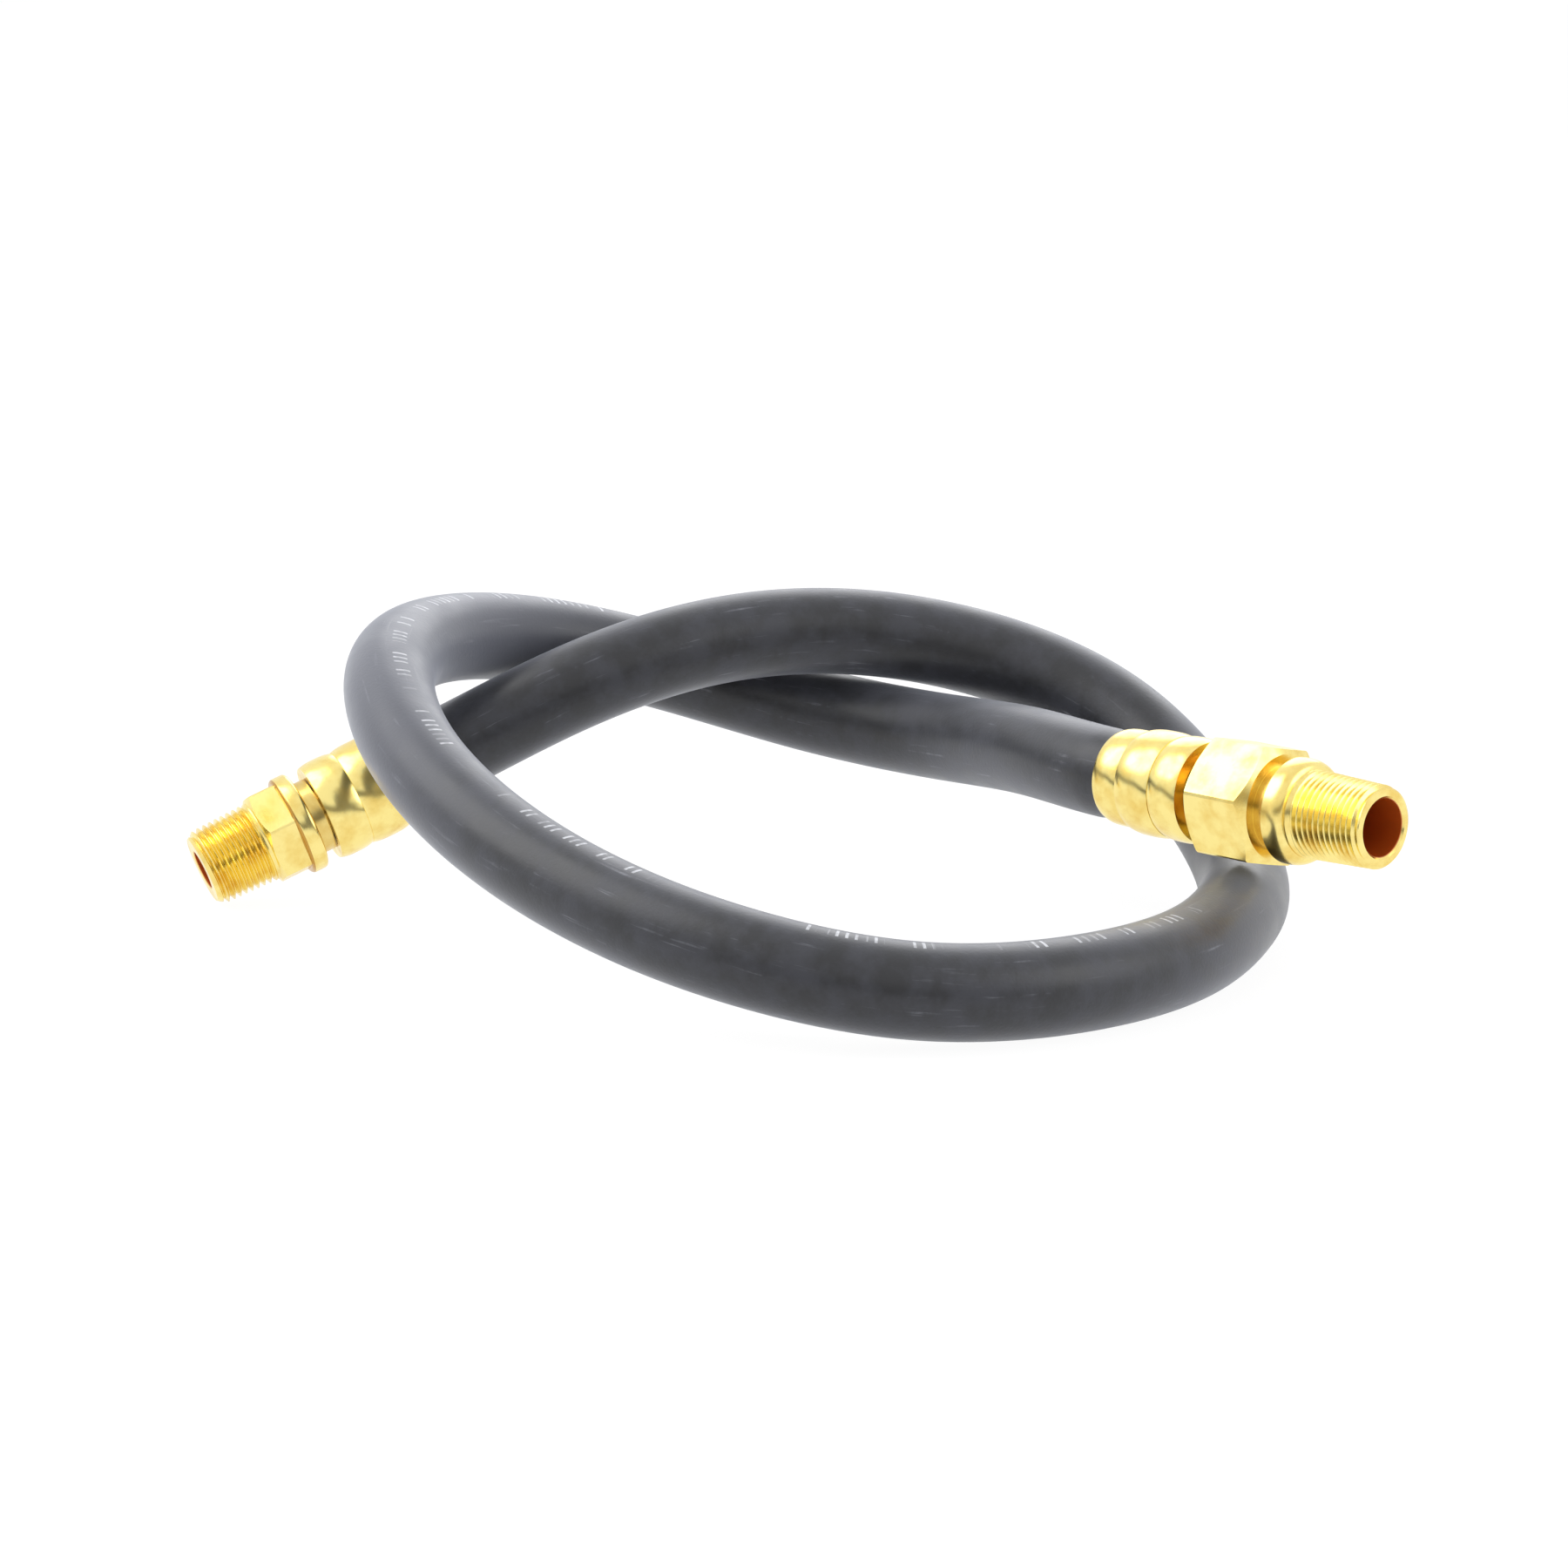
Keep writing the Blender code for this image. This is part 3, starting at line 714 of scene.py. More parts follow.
class TurnedForm:
    """One closed surface made of rings round the local Z axis.

    Its columns stand at the corners of a hexagon, close beside them and evenly between them, so
    that a hexagon and a thread join turned shapes without a seam. The columns' places are degrees
    from each corner.
    """

    SIDE: float = 60.0
    BESIDE_CORNER: float = 1.4
    STEP: float = 4.0

    def __init__(self, corner_at: float = 90.0) -> None:
        """Start an empty form.

        Args:
            corner_at: Angle of one hexagon corner about Z, in degrees.
        """
        between = [self.STEP * k for k in range(1, round(self.SIDE / self.STEP))]
        side = [self.BESIDE_CORNER, *between, self.SIDE - self.BESIDE_CORNER]
        degrees = [corner_at + self.SIDE * k + part for k in range(6) for part in side]
        self.corner_at = corner_at
        self.angles = np.radians(np.array(degrees))
        self.turns = (self.angles - self.angles[0]) / (2.0 * math.pi)
        self.points: list[tuple[float, float, float]] = []
        self.faces: list[tuple[int, int, int, int]] = []
        self.first: Optional[int] = None
        self.last: Optional[int] = None

    def _row(self, radius: RingValue, height: RingValue) -> int:
        """Add one row of points.

        Args:
            radius: Its radius, one number or one for each column.
            height: Its height, in the same way.

        Returns:
            The number of the row's first point.
        """
        start = len(self.points)
        count = len(self.angles)
        radii = np.broadcast_to(radius, (count,))
        heights = np.broadcast_to(height, (count,))
        for angle, r, z in zip(self.angles, radii, heights):
            self.points.append((r * math.cos(angle), r * math.sin(angle), float(z)))
        return start

    def _join(self, low: int, high: int, shift: int = 0) -> None:
        """Join two rows with faces.

        Args:
            low: First point of one row.
            high: First point of the other row.
            shift: Points between a row and the one that it runs into after a whole turn.
        """
        count = len(self.angles)
        for i in range(count - 1):
            self.faces.append((low + i, low + i + 1, high + i + 1, high + i))
        turned_low, turned_high = low + shift, high + shift
        if max(turned_low, turned_high) < len(self.points):
            self.faces.append((low + count - 1, turned_low, turned_high, high + count - 1))

    def ring(self, radius: RingValue, height: RingValue) -> None:
        """Add a ring and join it to the one before.

        Args:
            radius: Its radius, one number or one for each column.
            height: Its height, in the same way.
        """
        row = self._row(radius, height)
        if self.last is None:
            self.first = row
        else:
            self._join(self.last, row)
        self.last = row

    def outline(self, points: Sequence[tuple[float, float]]) -> None:
        """Add a plain ring for each (radius, height)."""
        for radius, height in points:
            self.ring(radius, height)

    def hex_sides(self, across_flats: float) -> np.ndarray:
        """Find how far out a hexagon's sides stand.

        Args:
            across_flats: Distance between opposite flats.

        Returns:
            The radius of the sides at each column.
        """
        from_middle = (np.degrees(self.angles) - self.corner_at) % self.SIDE - self.SIDE / 2.0
        return across_flats / 2.0 / np.cos(np.radians(from_middle))

    def hexagon(self, shape: HexShape, start: float, end: float, lower: bool = True) -> None:
        """Add a hexagon with its corners turned off.

        Args:
            shape: Its sizes.
            start: Height of its lower face.
            end: Height of its upper face.
            lower: Whether its lower corners are turned off too.
        """
        sides = self.hex_sides(shape.across_flats)
        face = shape.face / 2.0
        drop = (sides - face) * math.tan(math.radians(shape.chamfer))
        if lower:
            self.ring(face, start)
            self.ring(sides, start + drop)
        else:
            self.ring(sides, start)
        self.ring(sides, end - drop)
        self.ring(face, end)

    def thread(self, shape: PipeThread, start: float, end: float, chamfer: float) -> None:
        """Add a helical pipe thread whose grooves fade out at its lower end.

        Args:
            shape: The thread's form.
            start: Height where it starts, at the collar or hexagon.
            end: Height of the end face.
            chamfer: Length of the lead chamfer at the end face.
        """
        phases = shape.phases()
        # The helix starts a turn early and ends late, and is clipped flat at both ends.
        turns = math.ceil((end - start) / shape.pitch) + 2
        rows = []
        for turn in range(-1, turns):
            for phase in phases:
                height = np.clip(start + (turn + phase + self.turns) * shape.pitch, start, end)
                place = (height - start) / shape.pitch - self.turns
                fade = np.clip((height - start) / (shape.fade_turns * shape.pitch), 0.0, 1.0)
                radius = shape.crest(end - height) - shape.depth * shape.cut(place) * fade
                lead = shape.end_diameter / 2.0 - shape.lead_slope * (chamfer - (end - height))
                rows.append(self._row(np.minimum(radius, lead), height))
        for low, high in zip(rows, rows[1:]):
            self._join(low, high, shift=len(phases) * len(self.angles))
        self._join(self.last, rows[0])
        self.last = rows[-1]

    def finish(
        self, name: str, place: Matrix, material: bpy.types.Material, sharp: float = 25.0
    ) -> bpy.types.Object:
        """Close the form and make the piece.

        Args:
            name: The piece's name.
            place: Its frame in the row frame.
            material: Its material.
            sharp: Edges that turn by more than this many degrees stay sharp.

        Returns:
            The new object.
        """
        self._join(self.last, self.first)
        return mesh_piece(name, self.points, self.faces, place, material, sharp)


def mesh_piece(
    name: str,
    points: Sequence[Sequence[float]],
    faces: Sequence[Sequence[int]],
    place: Matrix,
    material: bpy.types.Material,
    sharp: float,
) -> bpy.types.Object:
    """Make a smooth-shaded object from points and faces, with doubled points joined.

    Args:
        name: The piece's name.
        points: Its points in its own frame.
        faces: Its faces as point numbers.
        place: Its frame in the row frame.
        material: Its material.
        sharp: Edges that turn by more than this many degrees stay sharp.

    Returns:
        The new object, linked to the scene.
    """
    mesh = bpy.data.meshes.new(name)
    mesh.from_pydata([tuple(point) for point in points], [], [tuple(face) for face in faces])
    mesh.transform(place)
    form = bmesh.new()
    form.from_mesh(mesh)
    bmesh.ops.remove_doubles(form, verts=form.verts, dist=JOIN_WITHIN)
    bmesh.ops.dissolve_degenerate(form, edges=form.edges, dist=EDGE_WITHIN)
    bmesh.ops.recalc_face_normals(form, faces=form.faces)
    form.to_mesh(mesh)
    form.free()
    mesh.shade_smooth()
    mesh.set_sharp_from_angle(angle=math.radians(sharp))
    mesh.materials.append(material)
    made = bpy.data.objects.new(name, mesh)
    bpy.context.scene.collection.objects.link(made)
    return made


def arc(
    middle: tuple[float, float], radius: float, start: float, end: float, steps: int = 6
) -> list[tuple[float, float]]:
    """Return points of an arc in an outline.

    Args:
        middle: Radius and height of its middle.
        radius: Radius of the arc itself.
        start: Angle where it starts, in degrees, where 0 points away from the axis and 90 up.
        end: Angle where it ends.
        steps: Number of straight pieces.

    Returns:
        The points as (radius, height), with both ends.
    """
    turns = [math.radians(start + (end - start) * k / steps) for k in range(steps + 1)]
    return [(middle[0] + radius * math.cos(a), middle[1] + radius * math.sin(a)) for a in turns]


@dataclass
class Ferrule:
    """Brass ferrule crimped over the hose in three rolled bands. Its mouth is at height 0."""

    name: str
    place: FittingPlace
    length: float = FERRULE_LENGTH
    # Start, end and diameter of each band.
    bands: tuple[tuple[float, float, float], ...] = (
        (0.0, 7.1 * MM, 20.6 * MM),
        (7.1 * MM, 16.1 * MM, 22.4 * MM),
        (16.1 * MM, FERRULE_LENGTH, 22.2 * MM),
    )
    band_depth: float = 0.5 * MM
    band_steps: int = 12
    lip: float = FERRULE_LIP
    bore: float = CRIMPED_HOSE + 2.0 * CLEARANCE
    lip_bore: float = STEM_NECK + 2.0 * CLEARANCE
    mouth_length: float = 0.6 * MM
    mouth_chamfer: float = 0.3 * MM

    def outer(self) -> list[tuple[float, float]]:
        """Draw the outer side, with each band crowned between its two rolls.

        Returns:
            Its points from the mouth up, as (radius, height).
        """
        side = []
        for start, end, diameter in self.bands:
            middle = (start + end) / 2.0
            half = (end - start) / 2.0
            for k in range(-self.band_steps, self.band_steps + 1):
                u = k / self.band_steps
                side.append((diameter / 2.0 - self.band_depth * abs(u) ** 3, middle + half * u))
        return side

    def build(self, material: bpy.types.Material) -> bpy.types.Object:
        """Build the ferrule.

        Args:
            material: Its brass.

        Returns:
            The ferrule's object.
        """
        form = TurnedForm()
        bore = self.bore / 2.0
        inside = self.length - self.lip
        form.outline(self.outer())
        form.outline([
            (self.lip_bore / 2.0, self.length),
            (self.lip_bore / 2.0, inside),
            (bore, inside),
            (bore, self.mouth_length),
            (bore + self.mouth_chamfer, 0.0),
        ])
        return form.finish(self.name, self.place.matrix(), material)


@dataclass
class Tail:
    """The part of a stem inside the hose: barbs, a shoulder that locks the ferrule, and a neck."""

    ferrule_length: float = FERRULE_LENGTH
    lip: float = FERRULE_LIP
    clearance: float = CLEARANCE
    root: float = 8.0 * MM
    crest: float = 8.6 * MM
    barb_pitch: float = 3.4 * MM
    barb_foot: float = 0.2 * MM
    barb_edge: float = 0.6 * MM
    barb_land: float = 0.4 * MM
    barbs: int = 5
    shoulder: float = 15.2 * MM
    shoulder_length: float = 1.2 * MM
    neck: float = STEM_NECK
    bore: float = 6.6 * MM

    def outer(self) -> list[tuple[float, float]]:
        """Draw the outer side.

        Returns:
            Its points from the tail's tip up to the ferrule's end, as (radius, height).
        """
        top = self.ferrule_length - self.lip - self.clearance
        foot = top - self.shoulder_length
        side = [
            (self.neck / 2.0, self.ferrule_length + self.clearance),
            (self.neck / 2.0, top),
            (self.shoulder / 2.0, top),
            (self.shoulder / 2.0, foot),
            (self.root / 2.0, foot),
        ]
        for barb in range(self.barbs):
            start = foot - self.clearance - barb * self.barb_pitch
            side.append((self.root / 2.0, start - self.barb_foot))
            side.append((self.crest / 2.0, start - self.barb_edge))
            side.append((self.root / 2.0, start - self.barb_pitch + self.barb_land))
        side.reverse()
        return side


@dataclass
class FixedStem:
    """The fixed end, turned in one piece: barbed tail, groove, collar, hexagon and pipe thread."""

    name: str
    place: FittingPlace
    tail: Tail = field(default_factory=Tail)
    shape: PipeThread = field(default_factory=PipeThread)
    groove: float = 16.4 * MM
    groove_length: float = 3.2 * MM
    collar: float = 22.2 * MM
    collar_length: float = 3.9 * MM
    rounding: float = 0.9 * MM
    hexagon: HexShape = HexShape(0.75 * INCH, 18.4 * MM)
    hex_length: float = 6.8 * MM
    hex_turn: float = -10.0
    thread_length: float = 14.3 * MM
    chamfer: float = 1.6 * MM
    bore: float = 8.6 * MM
    bore_depth: float = 20.0 * MM
    mouth_chamfer: float = 0.3 * MM

    def build(self, material: bpy.types.Material) -> bpy.types.Object:
        """Build the stem.

        Args:
            material: Its brass.

        Returns:
            The stem's object.
        """
        form = TurnedForm(90.0 + self.hex_turn)
        collar_start = self.tail.ferrule_length + self.groove_length
        hex_start = collar_start + self.collar_length
        thread_start = hex_start + self.hex_length
        end = thread_start + self.thread_length
        outer = self.collar / 2.0 - self.rounding
        form.outline(self.tail.outer())
        form.outline([
            (self.groove / 2.0, self.tail.ferrule_length + self.tail.clearance),
            (self.groove / 2.0, collar_start),
        ])
        form.outline(arc((outer, collar_start + self.rounding), self.rounding, -90.0, 0.0))
        sides = form.hex_sides(self.hexagon.across_flats)
        for radius, height in arc((outer, hex_start - self.rounding), self.rounding, 0.0, 90.0):
            form.ring(np.maximum(radius, sides), height)
        form.hexagon(self.hexagon, hex_start, thread_start, lower=False)
        form.thread(self.shape, thread_start, end, self.chamfer)
        form.outline([
            (self.bore / 2.0 + self.mouth_chamfer, end),
            (self.bore / 2.0, end - self.mouth_chamfer),
            (self.bore / 2.0, end - self.bore_depth),
            (self.tail.bore / 2.0, end - self.bore_depth),
            (self.tail.bore / 2.0, self.tail.outer()[0][1]),
        ])
        return form.finish(self.name, self.place.matrix(), material)


@dataclass
class SwivelJoint:
    """Sizes that the swivel's stem, body and rings share, measured from the ferrule's mouth."""

    rear: float = FERRULE_LENGTH + 3.6 * MM
    clearance: float = CLEARANCE
    journal: float = 12.4 * MM
    journal_length: float = 18.7 * MM
    wire: float = 1.3 * MM
    wire_place: float = 3.4 * MM
    seal: float = 1.6 * MM
    seal_place: float = 10.0 * MM

    def bore(self) -> float:
        """Return the diameter of the body's bore round the journal."""
        return self.journal + 2.0 * self.clearance

    def wire_radius(self) -> float:
        """Return the retaining wire's middle radius, half in each piece."""
        return (self.journal + self.bore()) / 4.0

    def seal_radius(self) -> float:
        """Return the seal ring's middle radius."""
        return self.bore() / 2.0 - self.clearance - self.seal / 2.0

    def groove(
        self, place: float, bottom: float, top: float, section: float
    ) -> list[tuple[float, float]]:
        """Draw a square ring groove from below up.

        Args:
            place: Distance of its middle from the body's rear face.
            bottom: Radius of its bottom.
            top: Radius of the surface that it is cut into.
            section: Diameter of the ring in it.

        Returns:
            Its four corners as (radius, height).
        """
        half = section / 2.0 + self.clearance
        low = self.rear + place - half
        high = self.rear + place + half
        return [(top, low), (bottom, low), (bottom, high), (top, high)]


@dataclass
class SwivelStem:
    """The swivel end's stem: barbed tail, thrust shoulder and journal with its two ring grooves."""

    name: str
    place: FittingPlace
    joint: SwivelJoint = field(default_factory=SwivelJoint)
    tail: Tail = field(default_factory=Tail)
    thrust: float = 15.0 * MM
    end_chamfer: float = 0.4 * MM

    def build(self, material: bpy.types.Material) -> bpy.types.Object:
        """Build the stem.

        Args:
            material: Its brass.

        Returns:
            The stem's object.
        """
        joint = self.joint
        form = TurnedForm()
        journal = joint.journal / 2.0
        end = joint.rear + joint.journal_length
        wire_bottom = joint.wire_radius() - joint.wire / 2.0 - joint.clearance
        seal_bottom = joint.seal_radius() - joint.seal / 2.0 - joint.clearance
        form.outline(self.tail.outer())
        form.outline([
            (self.thrust / 2.0, self.tail.ferrule_length + joint.clearance),
            (self.thrust / 2.0, joint.rear - joint.clearance),
            (journal, joint.rear - joint.clearance),
        ])
        form.outline(joint.groove(joint.wire_place, wire_bottom, journal, joint.wire))
        form.outline(joint.groove(joint.seal_place, seal_bottom, journal, joint.seal))
        form.outline([
            (journal, end - self.end_chamfer),
            (journal - self.end_chamfer, end),
            (self.tail.bore / 2.0, end),
            (self.tail.bore / 2.0, self.tail.outer()[0][1]),
        ])
        return form.finish(self.name, self.place.matrix(), material)


@dataclass
class SwivelBody:
    """The body that turns on the journal: hexagon, groove, domed collar and pipe thread."""

    name: str
    place: FittingPlace
    joint: SwivelJoint = field(default_factory=SwivelJoint)
    shape: PipeThread = field(default_factory=PipeThread)
    hexagon: HexShape = HexShape(15.0 / 16.0 * INCH, 22.0 * MM)
    hex_length: float = 16.5 * MM
    hex_turn: float = 18.4
    groove: float = 18.0 * MM
    groove_length: float = 3.2 * MM
    collar: float = 22.0 * MM
    collar_length: float = 5.1 * MM
    collar_edge: float = 0.6 * MM
    dome_share: float = 0.62
    dome_turn: float = 70.0
    dome_steps: int = 12
    thread_length: float = 18.6 * MM
    chamfer: float = 0.9 * MM
    nose_bore: float = 11.9 * MM
    mouth_chamfer: float = 0.5 * MM

    def dome(self, foot: float, start: float) -> list[tuple[float, float]]:
        """Draw the collar's domed side from its widest ring up to the thread's foot.

        Args:
            foot: Radius of the thread where the dome meets it.
            start: Height of the thread's start.

        Returns:
            The points as (radius, height).
        """
        reach = self.collar / 2.0 - foot
        rise = self.dome_share * self.collar_length
        steps = range(self.dome_steps + 1)
        turns = [math.radians(90.0 - self.dome_turn * k / self.dome_steps) for k in steps]
        return [(foot + reach * math.sin(a), start - rise * (1.0 - math.cos(a))) for a in turns]

    def build(self, material: bpy.types.Material) -> bpy.types.Object:
        """Build the body.

        Args:
            material: Its brass.

        Returns:
            The body's object.
        """
        joint = self.joint
        form = TurnedForm(90.0 + self.hex_turn)
        rear = joint.rear
        groove_start = rear + self.hex_length
        collar_start = groove_start + self.groove_length
        thread_start = collar_start + self.collar_length
        end = thread_start + self.thread_length
        step = rear + joint.journal_length + joint.clearance
        bore = joint.bore() / 2.0
        nose = self.nose_bore / 2.0
        wire_top = joint.wire_radius() + joint.wire / 2.0 + joint.clearance
        form.hexagon(self.hexagon, rear, groove_start)
        form.outline([
            (self.groove / 2.0, groove_start),
            (self.groove / 2.0, collar_start),
            (self.collar / 2.0 - self.collar_edge, collar_start),
            (self.collar / 2.0, collar_start + self.collar_edge),
        ])
        form.outline(self.dome(self.shape.crest(self.thread_length), thread_start))
        form.thread(self.shape, thread_start, end, self.chamfer)
        form.outline([
            (nose + self.mouth_chamfer, end),
            (nose, end - self.mouth_chamfer),
            (nose, step),
            (bore, step),
        ])
        groove = joint.groove(joint.wire_place, wire_top, bore, joint.wire)
        groove.reverse()
        form.outline(groove)
        form.ring(bore, rear)
        return form.finish(self.name, self.place.matrix(), material)


@dataclass
class SealRing:
    """Rubber ring in the journal's groove."""

    name: str
    place: FittingPlace
    joint: SwivelJoint = field(default_factory=SwivelJoint)
    section_points: int = 24
    sharp: float = 60.0

    def build(self, material: bpy.types.Material) -> bpy.types.Object:
        """Build the ring.

        Args:
            material: Its rubber.

        Returns:
            The ring's object.
        """
        form = TurnedForm()
        height = self.joint.rear + self.joint.seal_place
        middle = (self.joint.seal_radius(), height)
        steps = self.section_points - 1
        last = 360.0 * steps / self.section_points
        form.outline(arc(middle, self.joint.seal / 2.0, 0.0, last, steps))
        return form.finish(self.name, self.place.matrix(), material, self.sharp)


def smooth_route(
    points: Sequence[Sequence[float]], start_way: Vector, end_way: Vector, spacing: float
) -> list[Vector]:
    """Return points along one smooth curve through the route, with its end directions given.

    Args:
        points: The route's points.
        start_way: Direction of travel at the first point.
        end_way: Direction of travel at the last point.
        spacing: Distance between the points that are returned.

    Returns:
        Points of a cubic spline whose slope and bend are continuous.
    """
    knots = np.array(points, dtype=float)
    chord = np.linalg.norm(np.diff(knots, axis=0), axis=1)
    count = len(knots)
    system = np.eye(count)
    wanted = np.zeros((count, 3))
    wanted[0] = start_way
    wanted[-1] = end_way
    for i in range(1, count - 1):
        before, after = chord[i - 1], chord[i]
        system[i, i - 1:i + 2] = (after, 2.0 * (before + after), before)
        step_in = (knots[i] - knots[i - 1]) / before
        step_out = (knots[i + 1] - knots[i]) / after
        wanted[i] = 3.0 * (after * step_in + before * step_out)
    slopes = np.linalg.solve(system, wanted)
    read = []
    for i in range(count - 1):
        stretch = max(1, round(chord[i] / spacing))
        for k in range(stretch):
            t = k / stretch
            near = (1.0 + 2.0 * t) * (1.0 - t) ** 2 * knots[i]
            near = near + t * (1.0 - t) ** 2 * chord[i] * slopes[i]
            far = t * t * (3.0 - 2.0 * t) * knots[i + 1]
            far = far - t * t * (1.0 - t) * chord[i] * slopes[i + 1]
            read.append(near + far)
    read.append(knots[-1])
    return [Vector(point) for point in read]


def lengths_along(path: Sequence[Vector]) -> list[float]:
    """Measure a path.

    Args:
        path: The points.

    Returns:
        The length from the first point to each point.
    """
    lengths = [0.0]
    for before, after in zip(path, path[1:]):
        lengths.append(lengths[-1] + (after - before).length)
    return lengths


def sweep_frames(path: Sequence[Vector]) -> list[tuple[Vector, Vector, Vector]]:
    """Return the direction and two cross directions at each point of a path, without twist.

    Args:
        path: The points.

    Returns:
        For each point its direction, and two directions square to it and to each other.
    """
    ways = []
    for i in range(len(path)):
        before = path[max(i - 1, 0)]
        after = path[min(i + 1, len(path) - 1)]
        ways.append((after - before).normalized())
    side = ways[0].cross(Vector((0.0, 0.0, 1.0))).normalized()
    frames = []
    for i, way in enumerate(ways):
        if i:
            side = ways[i - 1].rotation_difference(way) @ side
        side = (side - way * side.dot(way)).normalized()
        frames.append((way, side, way.cross(side).normalized()))
    return frames


@dataclass
class RetainingRing:
    """Open wire ring, half in the journal and half in the swivel body."""

    name: str
    place: FittingPlace
    joint: SwivelJoint = field(default_factory=SwivelJoint)
    gap: float = 24.0
    sides: int = 16
    stations: int = 72
    sharp: float = 60.0

    def build(self, material: bpy.types.Material) -> bpy.types.Object:
        """Build the ring.

        Args:
            material: Its steel.

        Returns:
            The ring's object.
        """
        radius = self.joint.wire_radius()
        height = self.joint.rear + self.joint.wire_place
        span = math.radians(360.0 - self.gap)
        turns = [span * k / (self.stations - 1) for k in range(self.stations)]
        path = [Vector((radius * math.cos(a), radius * math.sin(a), height)) for a in turns]
        points, faces = swept_tube(path, [self.joint.wire / 2.0] * len(path), self.sides)
        last = len(points) - self.sides
        faces += [tuple(range(self.sides)), tuple(range(last, len(points)))]
        return mesh_piece(self.name, points, faces, self.place.matrix(), material, self.sharp)


def swept_tube(
    path: Sequence[Vector], radii: Sequence[float], sides: int
) -> tuple[list[Vector], list[tuple[int, ...]]]:
    """Return the side of a round tube along a path, without its end faces.

    Args:
        path: Middle of each ring.
        radii: Radius of each ring.
        sides: Points in each ring.

    Returns:
        The points, ring by ring, and the faces between the rings.
    """
    points = []
    for middle, radius, (_, side, up) in zip(path, radii, sweep_frames(path)):
        for k in range(sides):
            turn = 2.0 * math.pi * k / sides
            points.append(middle + radius * (math.cos(turn) * side + math.sin(turn) * up))
    faces = []
    for i in range(len(path) - 1):
        for k in range(sides):
            low, high = i * sides, (i + 1) * sides
            after = (k + 1) % sides
            faces.append((low + k, low + after, high + after, high + k))
    return points, faces


@dataclass
class Hose:
    """One length of rubber hose: a free loop between two ends squeezed by the ferrules."""

    name: str
    start: FittingPlace
    finish: FittingPlace
    outer: float = HOSE_OUTSIDE
    bore: float = 0.375 * INCH
    crimped: float = CRIMPED_HOSE
    in_ferrule: float = 19.5 * MM
    neck: float = 4.0 * MM
    ring_spacing: float = 2.0 * MM
    sides: int = 72
    sharp: float = 40.0

    def path(self) -> list[Vector]:
        """Draw the centre line with the straight ends inside the ferrules.

        Returns:
            Its points from the fixed end to the swivel end.
        """
        first, last = self.start.way(), self.finish.way()
        free = smooth_route(ROUTE, -first, last, self.ring_spacing)
        count = round(self.in_ferrule / self.ring_spacing)
        steps = [self.in_ferrule * (count - k) / count for k in range(count)]
        before = [free[0] + first * step for step in steps]
        after = [free[-1] + last * step for step in reversed(steps)]
        return before + free + after

    def radii(self, path: Sequence[Vector]) -> list[float]:
        """Find the hose's outer radius, smaller where a ferrule squeezes it.

        Args:
            path: The centre line.

        Returns:
            The radius at each point.
        """
        lengths = lengths_along(path)
        result = []
        for length in lengths:
            free = min(length, lengths[-1] - length) - self.in_ferrule
            t = min(max(free / self.neck, 0.0), 1.0)
            swell = t * t * (3.0 - 2.0 * t)
            result.append((self.crimped + (self.outer - self.crimped) * swell) / 2.0)
        return result

    def build(self, material: bpy.types.Material) -> tuple[bpy.types.Object, list[Vector]]:
        """Build the hose as one closed surface with its bore and its two cut ends.

        Args:
            material: Its rubber.

        Returns:
            The hose's object and its centre line.
        """
        path = self.path()
        points, faces = swept_tube(path, self.radii(path), self.sides)
        inner = [self.bore / 2.0] * len(path)
        bore_points, bore_faces = swept_tube(path, inner, self.sides)
        shift = len(points)
        faces += [tuple(shift + i for i in reversed(face)) for face in bore_faces]
        for row in (0, shift - self.sides):
            for k in range(self.sides):
                after = (k + 1) % self.sides
                faces.append((row + k, row + after, shift + row + after, shift + row + k))
        points += bore_points
        made = mesh_piece(self.name, points, faces, Matrix(), material, self.sharp)
        self.lay_uv(made, path)
        return made, path

    def lay_uv(self, made: bpy.types.Object, path: Sequence[Vector]) -> None:
        """Give the mesh a UV map in metres, along the hose and round it.

        Args:
            made: The hose's object, whose points still lie ring by ring.
            path: The centre line.
        """
        lengths = lengths_along(path)
        mesh = made.data
        layer = mesh.uv_layers.new(name="hose_metres")
        rings = len(path)
        round_it = math.pi * self.outer
        for polygon in mesh.polygons:
            corners = [mesh.loops[i].vertex_index for i in polygon.loop_indices]
            columns = [corner % self.sides for corner in corners]
            wraps = max(columns) - min(columns) > self.sides / 2
            for loop, corner, column in zip(polygon.loop_indices, corners, columns):
                ring = (corner // self.sides) % rings
                turn = column + self.sides if wraps and column == 0 else column
                layer.data[loop].uv = (lengths[ring], turn / self.sides * round_it)


def shown_plainly(tree: bpy.types.NodeTree, path: bpy.types.Node) -> bpy.types.NodeSocket:
    """Tell rays that show a surface as it is from those that carry its light to matt surfaces.

    Args:
        tree: The node tree.
        path: Its Light Path node.

    Returns:
        1 for a ray from the camera, off a glossy surface or through glass, and otherwise 0.
    """
    seen = path.outputs["Is Camera Ray"]
    for kind in ("Is Glossy Ray", "Is Transmission Ray"):
        seen = add_node(
            tree, "ShaderNodeMath", {"operation": "MAXIMUM"}, {0: seen, 1: path.outputs[kind]}
        ).outputs["Value"]
    return seen


